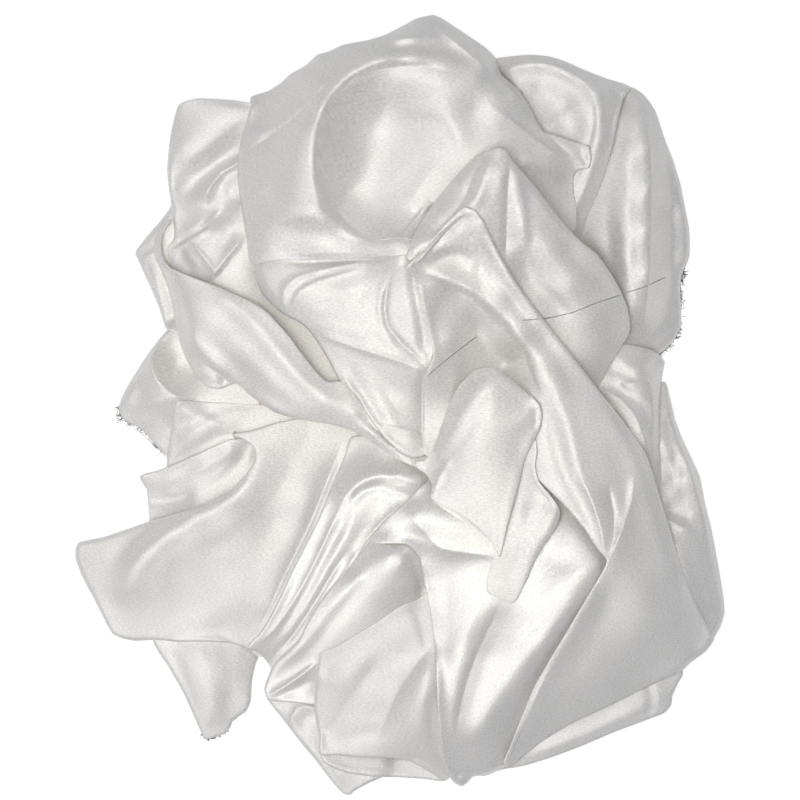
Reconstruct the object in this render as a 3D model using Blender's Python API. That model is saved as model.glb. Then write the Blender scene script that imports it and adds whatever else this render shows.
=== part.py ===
"""Silk satin scarf, dropped in a heap: one thin solid for each stretch of cloth that shows.

The heap is seen from above: +X is right, +Y is away from the viewer's feet, +Z is up. Every
stretch is a wall of even thickness. Its edge rows give its outline and height, its crest rows
give the heights of its ridges and hollows, and its pleat rows add the narrow folds. A thin
plate bent through these heights gives the cloth between them. Each stretch is then laid on
the ones below it with a small gap.
"""

import math

import bmesh
import bpy
import numpy as np
from mathutils import Vector
from mathutils.geometry import delaunay_2d_cdt

MM = 0.001  # rows are in millimetres, meshes in metres
WALL = 1.4  # thickness of the cloth's wall
GAP = 0.5  # free height between two stretches
LOFT = 0.86  # share of the heights in the rows that the settled heap keeps
EDGE_STEP = 11.0  # spacing of the points along an outline
FACE_STEP = 15.0  # spacing of the points inside an outline
CELL = 1.0  # cell of the map that stacks the stretches
MAP_HALF = (206, 246)  # half size of that map along X and Y
STEEPEST = 0.42  # least upward part of a normal used for the wall

for old in list(bpy.data.objects):
    bpy.data.objects.remove(old, do_unlink=True)


# ---- outlines and surfaces ----


def closed_curve(rows, step):
    """A smooth closed curve through the rows, resampled at about the given step."""
    rows = np.array(rows, float)
    count = len(rows)
    points = []
    for index in range(count):
        before, here, after, beyond = (rows[(index + shift) % count] for shift in (-1, 0, 1, 2))
        span = math.dist(here[:2], after[:2])
        pieces = max(1, round(span / step))
        leave = (after - before) * span / max(math.dist(after[:2], before[:2]), 1e-6)
        arrive = (beyond - here) * span / max(math.dist(beyond[:2], here[:2]), 1e-6)
        for piece in range(pieces):
            t = piece / pieces
            ease_in = t * t * (3 - 2 * t)
            points.append(
                here * (1 - ease_in)
                + after * ease_in
                + leave * 0.6 * t * (1 - t) ** 2
                - arrive * 0.6 * t * t * (1 - t)
            )
    return np.array(points)


def along_segments(places, line):
    """For each place: distance to the line, and how far along it (in points) the nearest spot is."""
    start, run = line[:-1, :2], np.diff(line[:, :2], axis=0)
    offset = places[:, None, :] - start[None]
    length = np.maximum((run**2).sum(1), 1e-9)
    share = np.clip((offset * run[None]).sum(2) / length, 0, 1)
    distance = np.linalg.norm(offset - share[..., None] * run[None], axis=2)
    nearest = distance.argmin(1)
    picked = np.arange(len(places))
    return distance[picked, nearest], nearest + share[picked, nearest]


def inside(places, loop):
    """Which places lie inside the closed loop."""
    x, y = places[:, 0, None], places[:, 1, None]
    x0, y0 = loop[:, 0], loop[:, 1]
    x1, y1 = np.roll(x0, -1), np.roll(y0, -1)
    level = (y0 <= y) != (y1 <= y)
    cut = x0 + (y - y0) * (x1 - x0) / np.where(y1 == y0, 1e-9, y1 - y0)
    return (level & (x < cut)).sum(1) % 2 == 1


def hexagonal_points(loop, step):
    """Evenly spaced points inside the loop, clear of its rim."""
    low, high = loop[:, :2].min(0), loop[:, :2].max(0)
    row_step = step * math.sqrt(0.75)
    points = [
        (x + (row % 2) * step / 2, y)
        for row, y in enumerate(np.arange(low[1], high[1], row_step))
        for x in np.arange(low[0] - step, high[0], step)
    ]
    points = np.array(points)
    points = points[inside(points, loop)]
    rim = np.vstack([loop, loop[:1]])
    return points[along_segments(points, rim)[0] > 0.5 * step]


def shoulder_points(loop, reach):
    """A row of points a little inside the outline, where the cloth turns down at its edge."""
    along = np.roll(loop, -1, 0)[:, :2] - np.roll(loop, 1, 0)[:, :2]
    inward = np.column_stack([-along[:, 1], along[:, 0]])
    inward /= np.maximum(np.linalg.norm(inward, axis=1), 1e-9)[:, None]
    points = loop[:, :2] + inward * area_sign(loop) * 0.5 * reach
    points = points[loop[:, 3] > 6.5]
    if not len(points):
        return points
    rim = np.vstack([loop, loop[:1]])
    clear = along_segments(points, rim)[0] > 0.4 * reach
    return points[clear & inside(points, loop)]


def area_sign(loop):
    """1 for a loop that runs anticlockwise, -1 for one that runs clockwise."""
    x, y = loop[:, 0], loop[:, 1]
    return math.copysign(1, (x * np.roll(y, -1) - np.roll(x, -1) * y).sum())


def thinned(points, others, least):
    """The points that keep at least the given distance from the others."""
    if not len(others):
        return points
    apart = np.linalg.norm(points[:, None] - others[None], axis=2).min(1)
    return points[apart > least]


def thin_plate(knots, places, slack=0.02):
    """Heights at the places of a thin plate bent through the knots (x, y, z)."""
    knots = np.array(knots, float)
    centre, scale = knots[:, :2].mean(0), 100.0

    def kernel(one, other):
        square = ((one[:, None] - other[None]) ** 2).sum(2)
        return 0.5 * square * np.log(square + 1e-12)

    spots = (knots[:, :2] - centre) / scale
    count = len(spots)
    flat = np.hstack([np.ones((count, 1)), spots])
    system = np.zeros((count + 3, count + 3))
    system[:count, :count] = kernel(spots, spots) + slack * 0.01 * np.eye(count)
    system[:count, count:] = flat
    system[count:, :count] = flat.T
    weights = np.linalg.solve(system, np.concatenate([knots[:, 2], np.zeros(3)]))
    wanted = (places - centre) / scale
    return kernel(wanted, spots) @ weights[:count] + weights[count] + wanted @ weights[count + 1 :]


def turned_down(distance, rise, reach):
    """Drop of a rounded edge: all of the rise at the edge, nothing one reach inside it."""
    share = np.clip(1 - distance / reach, 0, 1)
    return rise * (1 - np.sqrt(np.maximum(1 - share**2, 0)))


def pleat_height(places, pleat):
    """Height added by one narrow fold, fading out at both ends."""
    height, width, path = pleat
    line = np.array(path, float)
    distance, spot = along_segments(places, line)
    share = spot / (len(line) - 1)
    fade = np.clip(4 * np.minimum(share, 1 - share), 0, 1) ** 0.7
    return height * fade * np.exp(-((distance / width) ** 2))


# ---- stacking ----


class HeightMap:
    """Top of the heap so far, cell by cell."""

    def __init__(self):
        self.size = tuple(int(2 * half / CELL) for half in MAP_HALF)
        self.top = np.full(self.size, -1.0)

    def cells(self, corners):
        """Cells under one triangle and the triangle's height at each."""
        low = np.floor((corners[:, :2].min(0) + MAP_HALF) / CELL).astype(int)
        high = np.ceil((corners[:, :2].max(0) + MAP_HALF) / CELL).astype(int) + 1
        columns, rows = np.meshgrid(np.arange(low[0], high[0]), np.arange(low[1], high[1]))
        columns, rows = columns.ravel(), rows.ravel()
        x = (columns + 0.5) * CELL - MAP_HALF[0]
        y = (rows + 0.5) * CELL - MAP_HALF[1]
        (ax, ay, az), (bx, by, bz), (cx, cy, cz) = corners
        area = (bx - ax) * (cy - ay) - (cx - ax) * (by - ay)
        if abs(area) < 1e-9:
            return columns[:0], rows[:0], x[:0]
        second = ((x - ax) * (cy - ay) - (cx - ax) * (y - ay)) / area
        third = ((bx - ax) * (y - ay) - (x - ax) * (by - ay)) / area
        first = 1 - second - third
        slack = -0.8 * CELL * 10 / max(abs(area) ** 0.5, 1) * 0.1
        keep = (first >= slack) & (second >= slack) & (third >= slack)
        height = first * az + second * bz + third * cz
        return columns[keep], rows[keep], height[keep]

    def add(self, points, faces):
        for face in faces:
            columns, rows, height = self.cells(points[face])
            np.maximum.at(self.top, (columns, rows), height)

    def spread(self):
        """The top with every cell raised to its highest neighbour."""
        wide = self.top.copy()
        for axis in (0, 1):
            wide = np.maximum(wide, np.maximum(np.roll(wide, 1, axis), np.roll(wide, -1, axis)))
        return wide

    def lift_needed(self, points, faces, floor):
        """How far each point must rise for its facets to clear the heap."""
        need = np.zeros(len(points))
        for face in faces:
            columns, rows, height = self.cells(points[face])
            if len(height):
                short = (floor[columns, rows] + GAP - height).max()
                if short > 0:
                    need[face] = np.maximum(need[face], short)
        return need


HEAP = HeightMap()


def settled(points, drop, faces):
    """The surface raised, softly, until its underside clears everything below it."""
    floor = np.where(HEAP.spread() < 0, -GAP, HEAP.spread())
    lift = np.zeros(len(points))
    near = [set() for _ in points]
    for a, b, c in faces:
        near[a] |= {b, c}
        near[b] |= {a, c}
        near[c] |= {a, b}
    under = points - np.array([0, 0, 1.0]) * drop[:, None]
    for share in (0.5, 0.5, 0.6, 0.7, 1.0):
        moved = under + np.array([0, 0, 1.0]) * lift[:, None]
        lift = lift + share * HEAP.lift_needed(moved, faces, floor)
        for _ in range(2):
            soft = np.array([lift[list(others)].mean() for others in near])
            lift = np.maximum(lift, 0.5 * lift + 0.5 * soft)
    result = points.copy()
    result[:, 2] += lift
    return result


# ---- solids ----


def satin(name, shade):
    """Plain material of the satin."""
    material = bpy.data.materials.new(name)
    material.use_nodes = True
    shader = material.node_tree.nodes["Principled BSDF"]
    shader.inputs["Base Color"].default_value = (*shade, 1)
    shader.inputs["Roughness"].default_value = 0.4
    return material


def add_object(name, points, faces, shade):
    """One closed mesh object, in metres."""
    mesh = bpy.data.meshes.new(name)
    mesh.from_pydata([Vector(point) * MM for point in points], [], faces)
    work = bmesh.new()
    work.from_mesh(mesh)
    bmesh.ops.recalc_face_normals(work, faces=work.faces)
    work.to_mesh(mesh)
    work.free()
    mesh.materials.append(satin(f"satin_{name}", shade))
    bpy.context.scene.collection.objects.link(bpy.data.objects.new(name, mesh))


def stretch(name, reach, edge, crest, pleats=(), step=FACE_STEP):
    """One stretch of cloth as a thin wall.

    edge rows: x, y, z of the edge, and how far the cloth rises within one reach of it.
    crest rows: x, y, z. pleat rows: height, width, path.
    """
    loop = closed_curve(edge, EDGE_STEP * step / FACE_STEP)
    shoulder = shoulder_points(loop, reach)
    flat = np.vstack([loop[:, :2], shoulder, thinned(hexagonal_points(loop, step), shoulder, 0.5 * step)])
    ring = list(range(len(loop)))
    spots, _, faces, *_ = delaunay_2d_cdt([Vector(p) for p in flat], [], [ring], 1, 1e-5)
    spots = np.array([tuple(spot) for spot in spots])
    faces = np.array([face if turn(spots[list(face)]) > 0 else face[::-1] for face in faces])
    knots = [(x, y, z + rise) for x, y, z, rise in edge] + list(crest)
    height = thin_plate(knots, spots) * LOFT
    rim = np.vstack([loop, loop[:1]])
    distance, spot = along_segments(spots, rim)
    before = np.minimum(spot.astype(int), len(loop) - 1)
    share = spot - before
    rise = rim[before, 3] * (1 - share) + rim[before + 1, 3] * share
    for pleat in pleats:
        height = height + pleat_height(spots, pleat) * np.clip(distance / 4, 0.3, 1)
    height = height - turned_down(distance, rise * LOFT, reach)
    height = np.maximum(height, WALL)
    top = np.column_stack([spots, height])
    drop = wall_drop(top, faces)
    top = settled(top, drop, faces)
    bottom = top.copy()
    bottom[:, 2] = np.maximum(top[:, 2] - drop, 0)
    HEAP.add(top, faces)
    add_wall(name, top, bottom, faces)


def turn(corners):
    """Twice the signed area of a triangle."""
    (ax, ay), (bx, by), (cx, cy) = corners[:, :2]
    return (bx - ax) * (cy - ay) - (cx - ax) * (by - ay)


def wall_drop(top, faces):
    """Height of the wall at each point, larger where the cloth is steep."""
    side = np.cross(top[faces[:, 1]] - top[faces[:, 0]], top[faces[:, 2]] - top[faces[:, 0]])
    normal = np.zeros_like(top)
    for corner in range(3):
        np.add.at(normal, faces[:, corner], side)
    upward = normal[:, 2] / np.maximum(np.linalg.norm(normal, axis=1), 1e-9)
    return WALL / np.maximum(upward, STEEPEST)


def add_wall(name, top, bottom, faces):
    """Closed solid between a top and a bottom surface over the same points."""
    count = len(top)
    solid = [tuple(int(i) for i in face) for face in faces]
    solid += [tuple(int(i) + count for i in face[::-1]) for face in faces]
    used = {}
    for face in faces:
        for start, end in zip(face, np.roll(face, -1)):
            used[(int(start), int(end))] = True
    for start, end in used:
        if (end, start) not in used:
            solid.append((start, start + count, end + count))
            solid.append((start, end + count, end))
    add_object(name, np.vstack([top, bottom]), solid, (0.86, 0.86, 0.85))


# ---- hidden layers: one rounded solid with three layered steps round its rim ----

CORE_OUTLINE = [  # x, y
    (-20, -178), (40, -190), (95, -172), (145, -140), (160, -95), (140, -40), (132, 20), (140, 80),
    (135, 130), (112, 168), (70, 182), (20, 196), (-30, 188), (-70, 160), (-98, 115), (-112, 60),
    (-119, 15), (-121, -35), (-135, -90), (-105, -118), (-58, -138),
]
CORE_LAYERS = [  # height of the ring, how far it lies inside the outline
    (0.0, 0), (3.2, 0), (4.0, 2.5), (4.8, 0.5), (8.0, 1.5), (8.8, 4.5), (9.6, 3), (12.5, 5),
    (16.0, 14), (19.0, 30), (21.0, 52), (22.0, 76),
]


def hidden_layers():
    loop = closed_curve([(x, y, 0, 0) for x, y in CORE_OUTLINE], 25)[:, :2]
    middle = np.array([8.0, 0.0])
    radius = np.linalg.norm(loop - middle, axis=1)[:, None]
    rings = [middle + (loop - middle) * (1 - inset / radius) for _, inset in CORE_LAYERS]
    points = [(x, y, z) for (z, _), ring in zip(CORE_LAYERS, rings) for x, y in ring]
    around = len(loop)
    faces = []
    for level in range(len(rings) - 1):
        for spot in range(around):
            ahead = (spot + 1) % around
            low, high = level * around, (level + 1) * around
            faces.append((low + spot, low + ahead, high + ahead))
            faces.append((low + spot, high + ahead, high + spot))
    bottom, peak = len(points), len(points) + 1
    points += [(*middle, 0.0), (*middle, CORE_LAYERS[-1][0] + 0.5)]
    last = (len(rings) - 1) * around
    for spot in range(around):
        ahead = (spot + 1) % around
        faces.append((bottom, ahead, spot))
        faces.append((peak, last + spot, last + ahead))
    points = np.array(points)
    upper = [face for face in faces if bottom not in face]
    HEAP.add(points, np.array(upper))
    add_object("hidden_layers", points, faces, (0.78, 0.78, 0.76))


hidden_layers()


# ---- lowest stretches, round the rim ----

stretch(
    "left_corner", 9,
    edge=[  # x, y, z, rise
        (-136, 47, 8, 0), (-141, 45, 4, 6), (-150, 34, 3, 9), (-160, 19, 3, 8), (-166, 9, 3, 6),
        (-170, -1, 2, 4), (-168, -8, 2, 2), (-161, -12, 2, 1), (-156, -15, 2, 1), (-149, -23, 2, 2),
        (-142, -30, 2, 2), (-134, -34, 2, 0), (-124, -22, 3, 0), (-118, 0, 8, 0), (-110, 22, 12, 0),
        (-120, 42, 12, 0),
    ],
    crest=[  # x, y, z
        (-148, 30, 19), (-147, 18, 21), (-140, 9, 21), (-128, 5, 19), (-136, 24, 9), (-124, 20, 9),
        (-157, 8, 13), (-150, 3, 17), (-149, -8, 12), (-142, -16, 9),
    ],
    step=14,
)

stretch(
    "left_panel", 8,
    edge=[  # x, y, z, rise
        (-134, 2, 17, 2), (-120, 2, 16, 1), (-100, 2, 15, 0), (-82, 6, 14, 0), (-62, 2, 14, 0),
        (-58, -22, 14, 0), (-78, -42, 12, 0), (-100, -50, 9, 0), (-128, -52, 6, 0),
        (-140, -45, 4, 0), (-141, -37, 4, 3), (-140, -25, 6, 5), (-137, -10, 12, 4),
    ],
    crest=[(-126, -8, 19), (-115, -20, 17), (-128, -28, 13), (-100, -12, 17)],
)

stretch(
    "left_roll", 5,
    edge=[  # x, y, z, rise
        (-157, -43, 6, 3), (-146, -39.5, 10, 4), (-130, -33, 17, 4), (-115, -26, 22, 3),
        (-103, -21, 25, 2), (-95, -21.5, 25, 2), (-89, -26, 24, 2), (-86, -33, 22, 0),
        (-86, -44, 16, 0), (-98, -58, 12, 0), (-115, -67, 9, 0), (-135, -74, 6, 0),
        (-146, -76, 5, 0), (-151, -71, 3, 0), (-152, -60, 3, 0), (-153, -51, 4, 1),
    ],
    crest=[
        (-148, -60, 5), (-130, -52, 9), (-112, -45, 12), (-98, -36, 16), (-140, -43, 13),
        (-120, -35, 20), (-103, -28, 24),
    ],
    step=12,
)

stretch(
    "tail_corner", 8,
    edge=[  # x, y, z, rise
        (-146, -130, 3, 0), (-118, -124, 3, 0), (-88, -130, 3, 0), (-84, -148, 3, 0),
        (-87, -156, 2, 3), (-89.5, -168, 2, 4), (-90, -178, 2, 4), (-92.5, -184.5, 2, 3),
        (-101, -191, 2, 2), (-104, -197, 2, 1), (-112, -201, 2, 1), (-118, -202, 2, 1),
        (-120, -198, 2, 2), (-125, -187, 2, 4), (-131, -174, 2, 5), (-140, -158, 2, 5),
        (-149, -143.5, 2, 4),
    ],
    crest=[(-126, -152, 10), (-120, -170, 10), (-115, -188, 7), (-106, -160, 12), (-100, -172, 9)],
)

stretch(
    "lower_left_flap", 10,
    edge=[  # x, y, z, rise
        (-194, -83, 4, 4), (-180, -80, 7, 5), (-165, -75, 11, 6), (-151, -70, 15, 7),
        (-135, -65.5, 21, 6), (-118, -60, 26, 5), (-103, -52, 29, 4), (-93, -42, 31, 3),
        (-87, -33, 31, 3), (-88, -25, 30, 2), (-95, -20, 29, 2), (-101, -18, 28, 2),
        (-88, -15, 28, 2), (-75, -11, 28, 1), (-60, -6, 27, 0), (-72, 20, 22, 0),
        (-66, 52, 20, 0), (-35, 40, 22, 0), (-18, 0, 22, 0), (-16, -25, 20, 0), (-28, -50, 15, 0),
        (-40, -78, 11, 0), (-52, -105, 8, 0), (-64, -130, 6, 0), (-76, -150, 5, 0),
        (-86, -152, 4, 0), (-92, -147, 4, 2), (-104, -143.5, 4, 4), (-120, -143, 4, 5),
        (-135, -143, 4, 4), (-149, -142, 4, 4), (-160, -142.5, 2, 4), (-168, -141, 2, 4),
        (-174, -138, 2, 4), (-180, -127, 2, 5), (-185, -117, 2, 6), (-192, -104, 2, 6),
        (-196, -93, 2, 5), (-196, -87, 3, 4),
    ],
    crest=[
        (-90, -48, 33), (-104, -58, 33), (-125, -69, 31), (-142, -79, 28), (-156, -93, 24),
        (-163, -108, 19), (-158, -120, 14), (-178, -97, 14), (-172, -120, 9), (-135, -95, 22),
        (-112, -85, 25), (-130, -120, 14), (-105, -110, 18), (-95, -130, 11), (-80, -100, 17),
        (-75, -70, 23), (-65, -40, 28), (-55, -65, 22), (-58, -88, 14),
    ],
    step=14,
)

stretch(
    "bottom_left_corner", 8,
    edge=[  # x, y, z, rise
        (-77, -160, 3, 0), (-80.5, -166, 2, 2), (-82, -172, 2, 2), (-80, -178, 2, 2),
        (-70, -191, 2, 3), (-60, -204, 2, 4), (-50, -216, 2, 4), (-40, -229, 2, 3),
        (-34, -235, 2, 1), (-30, -235.5, 2, 1), (-28, -233.5, 2, 1), (-18, -228, 2, 3),
        (-9, -223.5, 2, 3), (-8, -212, 3, 0), (-25, -195, 4, 0), (-30, -175, 4, 0),
        (-45, -160, 5, 0), (-62, -152, 4, 0),
    ],
    crest=[(-62, -184, 8), (-52, -198, 8), (-40, -214, 7)],
)

stretch(
    "pocket_lip", 5,
    edge=[  # x, y, z, rise
        (-48, -211, 5, 1), (-46, -215.5, 2, 2), (-39, -219.5, 2, 2), (-30, -222.5, 2, 2),
        (-15, -224.5, 2, 2), (0, -225, 2, 2), (15, -226, 2, 2), (27, -227, 2, 1), (32, -218, 3, 0),
        (25, -205, 3, 0), (0, -198, 4, 0), (-25, -196, 5, 0), (-44, -200, 5, 0),
    ],
    crest=[(-30, -214, 3.5), (0, -217, 3.5)],
)

stretch(
    "bottom_strip", 4,
    edge=[  # x, y, z, rise
        (42, -223, 2, 1), (52, -223, 2, 2), (61, -220.5, 2, 2), (75, -218, 2, 2),
        (90, -213.5, 2, 3), (110, -206, 2, 3), (130, -197.5, 2, 3), (150, -190, 2, 3),
        (160, -186, 2, 3), (164, -181, 2, 3), (164.5, -176, 3, 3), (168, -168, 4, 3),
        (171, -162, 5, 3), (165, -150, 10, 0), (145, -158, 12, 0), (120, -172, 12, 0),
        (95, -185, 11, 0), (75, -198, 8, 0), (55, -212, 4, 0),
    ],
    crest=[(70, -214, 6), (100, -200, 12), (130, -187, 14), (155, -175, 15)],
)

stretch(
    "white_panel", 10,
    edge=[  # x, y, z, rise
        (118, 194, 14, 0), (132, 192, 8, 4), (140, 192, 4, 14), (146, 188.5, 4, 16),
        (150.5, 183.5, 3, 16), (154.5, 177, 3, 14), (157.5, 168, 3, 12), (160.5, 159, 3, 10),
        (165, 148, 3, 8), (169.5, 133, 3, 7), (172.5, 118, 3, 7), (174.8, 105, 3, 7),
        (175, 91, 3, 7), (173.5, 85.5, 3, 6), (170.5, 80, 3, 5), (169.5, 70, 2, 4),
        (170, 60, 2, 4), (169.5, 48, 2, 4), (167, 41, 2, 4), (161, 34, 2, 4), (156, 30.5, 3, 4),
        (148, 30.5, 8, 4), (142, 31, 14, 4), (136.5, 34, 20, 3), (126, 28, 24, 0),
        (112, 40, 24, 0), (104, 65, 24, 0), (98, 95, 24, 0), (108, 125, 24, 0), (114, 160, 20, 0),
    ],
    crest=[
        (147, 172, 32), (149, 155, 35), (149, 130, 37), (149, 105, 37), (149, 80, 36),
        (148, 60, 32), (149, 45, 22), (134, 160, 29), (132, 130, 29), (128, 100, 28),
        (136, 75, 31), (140, 50, 27), (158, 140, 20), (162, 115, 15), (163, 90, 14),
        (162, 65, 13), (158, 50, 12),
    ],
)

stretch(
    "back_band", 8,
    edge=[  # x, y, z, rise
        (48, 204, 14, 0), (57, 209, 6, 16), (66, 210.5, 5, 20), (78, 211.5, 5, 22),
        (90, 210.5, 5, 24), (100, 207.3, 5, 24), (112, 202, 5, 22), (125, 197, 5, 20),
        (134, 194.3, 5, 16), (139, 191, 8, 12), (134.5, 184, 20, 8), (131, 171, 24, 8),
        (128, 157, 26, 8), (124.5, 145, 26, 8), (121, 133, 26, 8), (116, 121, 26, 8),
        (112, 111, 26, 8), (108.5, 98, 26, 6), (100, 85, 28, 0), (85, 90, 34, 0),
        (60, 110, 38, 0), (35, 130, 40, 0), (20, 160, 36, 0), (25, 190, 30, 0),
    ],
    crest=[
        (66, 204, 31), (80, 206, 33), (95, 203, 35), (108, 196, 37), (118, 188, 39),
        (122, 176, 41), (122, 160, 41), (118, 145, 40), (112, 130, 39), (104, 117, 38),
        (85, 190, 26), (100, 180, 27), (90, 165, 30), (106, 165, 28), (100, 145, 30),
        (98, 128, 33), (125, 190, 28), (130, 188, 26),
    ],
)

stretch(
    "right_side_low", 6,
    edge=[  # x, y, z, rise
        (160, 14, 3, 3), (163, 5, 3, 6), (166, -8, 3, 8), (170, -19, 3, 9), (176, -32, 3, 10),
        (181, -43, 3, 11), (184, -58, 3, 13), (188, -74, 3, 15), (191, -90, 3, 16),
        (193.5, -104, 3, 16), (195.5, -117, 3, 15), (196, -126, 3, 14), (193.5, -134, 3, 12),
        (189.5, -141, 3, 11), (184, -149, 3, 8), (178, -153, 4, 4), (160, -155, 10, 0),
        (145, -135, 16, 0), (140, -100, 18, 0), (138, -60, 18, 0), (140, -20, 16, 0),
        (150, 10, 8, 0),
    ],
    crest=[
        (162, -5, 15), (165, -25, 21), (170, -45, 23), (168, -60, 17), (172, -85, 26),
        (180, -105, 26), (185, -122, 22), (160, -40, 17),
    ],
)

stretch(
    "right_side_panel", 7,
    edge=[  # x, y, z, rise
        (125, 36, 24, 0), (140, 36, 14, 0), (152, 33, 6, 0), (157, 30, 3, 3), (160, 26, 3, 5),
        (159, 21, 3, 6), (158, 14, 4, 8), (157.5, 5, 6, 10), (157, -10, 8, 12), (157, -25, 9, 12),
        (157.5, -40, 10, 11), (158, -55, 11, 9), (160, -68, 12, 6), (160, -80, 14, 0),
        (148, -80, 20, 0), (135, -50, 26, 0), (118, -15, 30, 0), (108, 10, 30, 0),
        (112, 30, 28, 0),
    ],
    crest=[
        (146, 22, 24), (150, 10, 27), (148, -5, 30), (149, -20, 30), (150, -35, 29),
        (138, -2, 30), (130, 8, 29), (128, 22, 26), (152, -50, 26),
    ],
)

stretch(
    "left_peak", 8,
    edge=[  # x, y, z, rise
        (-136, 124, 8, 0), (-139, 119, 4, 6), (-145, 111, 3, 8), (-152, 103, 2, 6),
        (-159, 94, 2, 3), (-160, 91, 2, 2), (-158.5, 88, 2, 2), (-155, 80, 2, 4),
        (-150, 69, 2, 5), (-145, 57, 2, 4), (-141, 46, 2, 2), (-130, 42, 3, 0), (-120, 60, 6, 0),
        (-118, 90, 10, 0), (-124, 118, 12, 0),
    ],
    crest=[(-150, 94, 9), (-146, 80, 9), (-142, 65, 8), (-144, 100, 12)],
)


# ---- lower middle: pleats, ridge, pocket and fan ----

stretch(
    "pleat_fan", 5,
    edge=[  # x, y, z, rise
        (-12, -20, 30, 0), (-29, -19, 28, 3), (-34, -32, 26, 4), (-41, -48, 23, 5),
        (-49, -68, 19, 6), (-57, -84, 16, 6), (-66, -102, 13, 5), (-72, -115, 11, 5),
        (-78, -127, 9, 4), (-85, -138, 6, 3), (-92, -146, 4, 1), (-85, -149.5, 3, 1),
        (-79, -157, 3, 1), (-74, -166, 3, 0), (-62, -165, 4, 0), (-45, -150, 8, 0),
        (-25, -120, 12, 0), (-5, -100, 16, 0), (10, -80, 22, 0), (18, -60, 28, 0),
        (20, -42, 32, 0), (8, -36, 33, 0), (0, -31, 33, 0),
    ],
    crest=[
        (-20, -44, 38), (-5, -42, 40), (8, -46, 38), (15, -52, 36), (-30, -50, 33),
        (-15, -60, 36), (-25, -75, 33), (-38, -90, 28), (-50, -108, 22), (-58, -125, 17),
        (-70, -143, 10),
    ],
    pleats=[  # height, width, path
        (2.5, 4, [(-28, -48), (-38, -68), (-50, -92), (-64, -118), (-80, -142)]),
        (-2.5, 4, [(-24, -50), (-34, -72), (-47, -95), (-60, -118), (-74, -141)]),
        (-3, 3, [(-20, -80), (-8, -67), (2, -60)]),
    ],
    step=14,
)

stretch(
    "lower_ridge", 6,
    edge=[  # x, y, z, rise
        (-3, -80, 33, 4), (-12, -83.5, 31, 4), (-22, -91, 28, 5), (-32, -101, 25, 5),
        (-42, -110, 21, 5), (-50, -121, 17, 5), (-56, -131, 14, 5), (-60, -140, 12, 5),
        (-68, -148, 9, 4), (-76, -156, 6, 3), (-80.5, -166, 3, 2), (-82, -172, 3, 1),
        (-79.5, -178, 3, 1), (-65, -179.5, 4, 1), (-48, -181, 5, 0), (-30, -175, 7, 0),
        (-5, -150, 12, 0), (8, -130, 18, 0), (13, -117, 22, 0), (12, -108, 26, 4),
        (8, -97, 30, 6), (3, -87, 33, 4),
    ],
    crest=[
        (-8, -90, 42), (-15, -105, 40), (-28, -120, 34), (-42, -138, 26), (-58, -155, 16),
        (-70, -168, 10), (0, -100, 40), (2, -112, 32), (-10, -118, 36),
    ],
    step=14,
)

stretch(
    "bottom_pocket", 5,
    edge=[  # x, y, z, rise
        (-48, -149, 14, 2), (-38, -145, 18, 2), (-28, -139, 22, 2), (-15, -131, 26, 2),
        (0, -121, 30, 2), (10, -117, 32, 1), (18, -112, 32, 0), (26, -125, 30, 0),
        (30, -145, 28, 0), (34, -175, 24, 0), (36, -205, 16, 0), (34, -220, 6, 0),
        (27, -227, 3, 0), (20, -223, 4, 3), (12, -218, 7, 3), (5, -214.5, 10, 2),
        (-10, -212.5, 12, 1), (-25, -212, 12, 1), (-40, -211, 9, 1), (-48, -211, 6, 1),
        (-49, -200, 5, 4), (-51, -190, 5, 6), (-52, -180, 6, 7), (-51, -165, 8, 7),
        (-48.5, -153, 11, 4),
    ],
    crest=[
        (-35, -165, 22), (-20, -155, 26), (0, -140, 32), (12, -130, 32), (10, -155, 36),
        (2, -168, 36), (-4, -182, 32), (5, -195, 28), (15, -175, 34), (-30, -185, 18),
        (-38, -198, 13), (-20, -190, 20), (-5, -204, 18), (15, -208, 16),
    ],
)

stretch(
    "lower_fan", 5,
    edge=[  # x, y, z, rise
        (-6, -66, 36, 0), (-10, -74, 35, 0), (-4, -80, 36, 1), (5, -83, 38, 3), (12, -93, 38, 4),
        (16, -107, 37, 4), (18.5, -122, 36, 4), (20, -138, 34, 4), (21, -152, 32, 5),
        (22, -168, 29, 6), (23, -186, 24, 7), (24.5, -200, 18, 7), (27, -213, 10, 6),
        (31, -223.5, 4, 3), (36, -229.5, 2, 3), (41, -227, 2, 3), (44, -224.5, 2, 4),
        (52, -224, 2, 6), (60, -220.5, 3, 7), (68, -212, 8, 0), (80, -190, 16, 0),
        (95, -162, 24, 0), (112, -134, 32, 0), (128, -106, 36, 0), (128, -88, 36, 0),
        (116, -70, 36, 0), (100, -50, 36, 0), (84, -30, 36, 0), (60, -20, 36, 0),
        (34, -28, 34, 0), (18, -44, 34, 0), (4, -57, 36, 2),
    ],
    crest=[
        (10, -66, 40), (30, -72, 40), (45, -80, 41), (58, -89, 43), (25, -88, 43), (42, -95, 38),
        (35, -105, 40), (30, -125, 40), (33, -150, 38), (31, -175, 33), (30, -195, 25),
        (52, -122, 44), (44, -140, 42), (38, -160, 38), (60, -128, 37), (52, -150, 33),
        (44, -175, 27), (38, -200, 17), (65, -150, 39), (58, -172, 33), (48, -200, 20),
        (100, -95, 46), (110, -100, 46), (90, -120, 45), (75, -110, 41), (85, -80, 43),
        (105, -75, 43),
    ],
    pleats=[  # height, width, path
        (4, 6, [(120, -96), (98, -122), (75, -148), (58, -180), (46, -214)]),
        (-3, 5, [(120, -104), (104, -128), (86, -158), (66, -196)]),
    ],
    step=14,
)


# ---- left side: flap and garland ----

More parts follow.
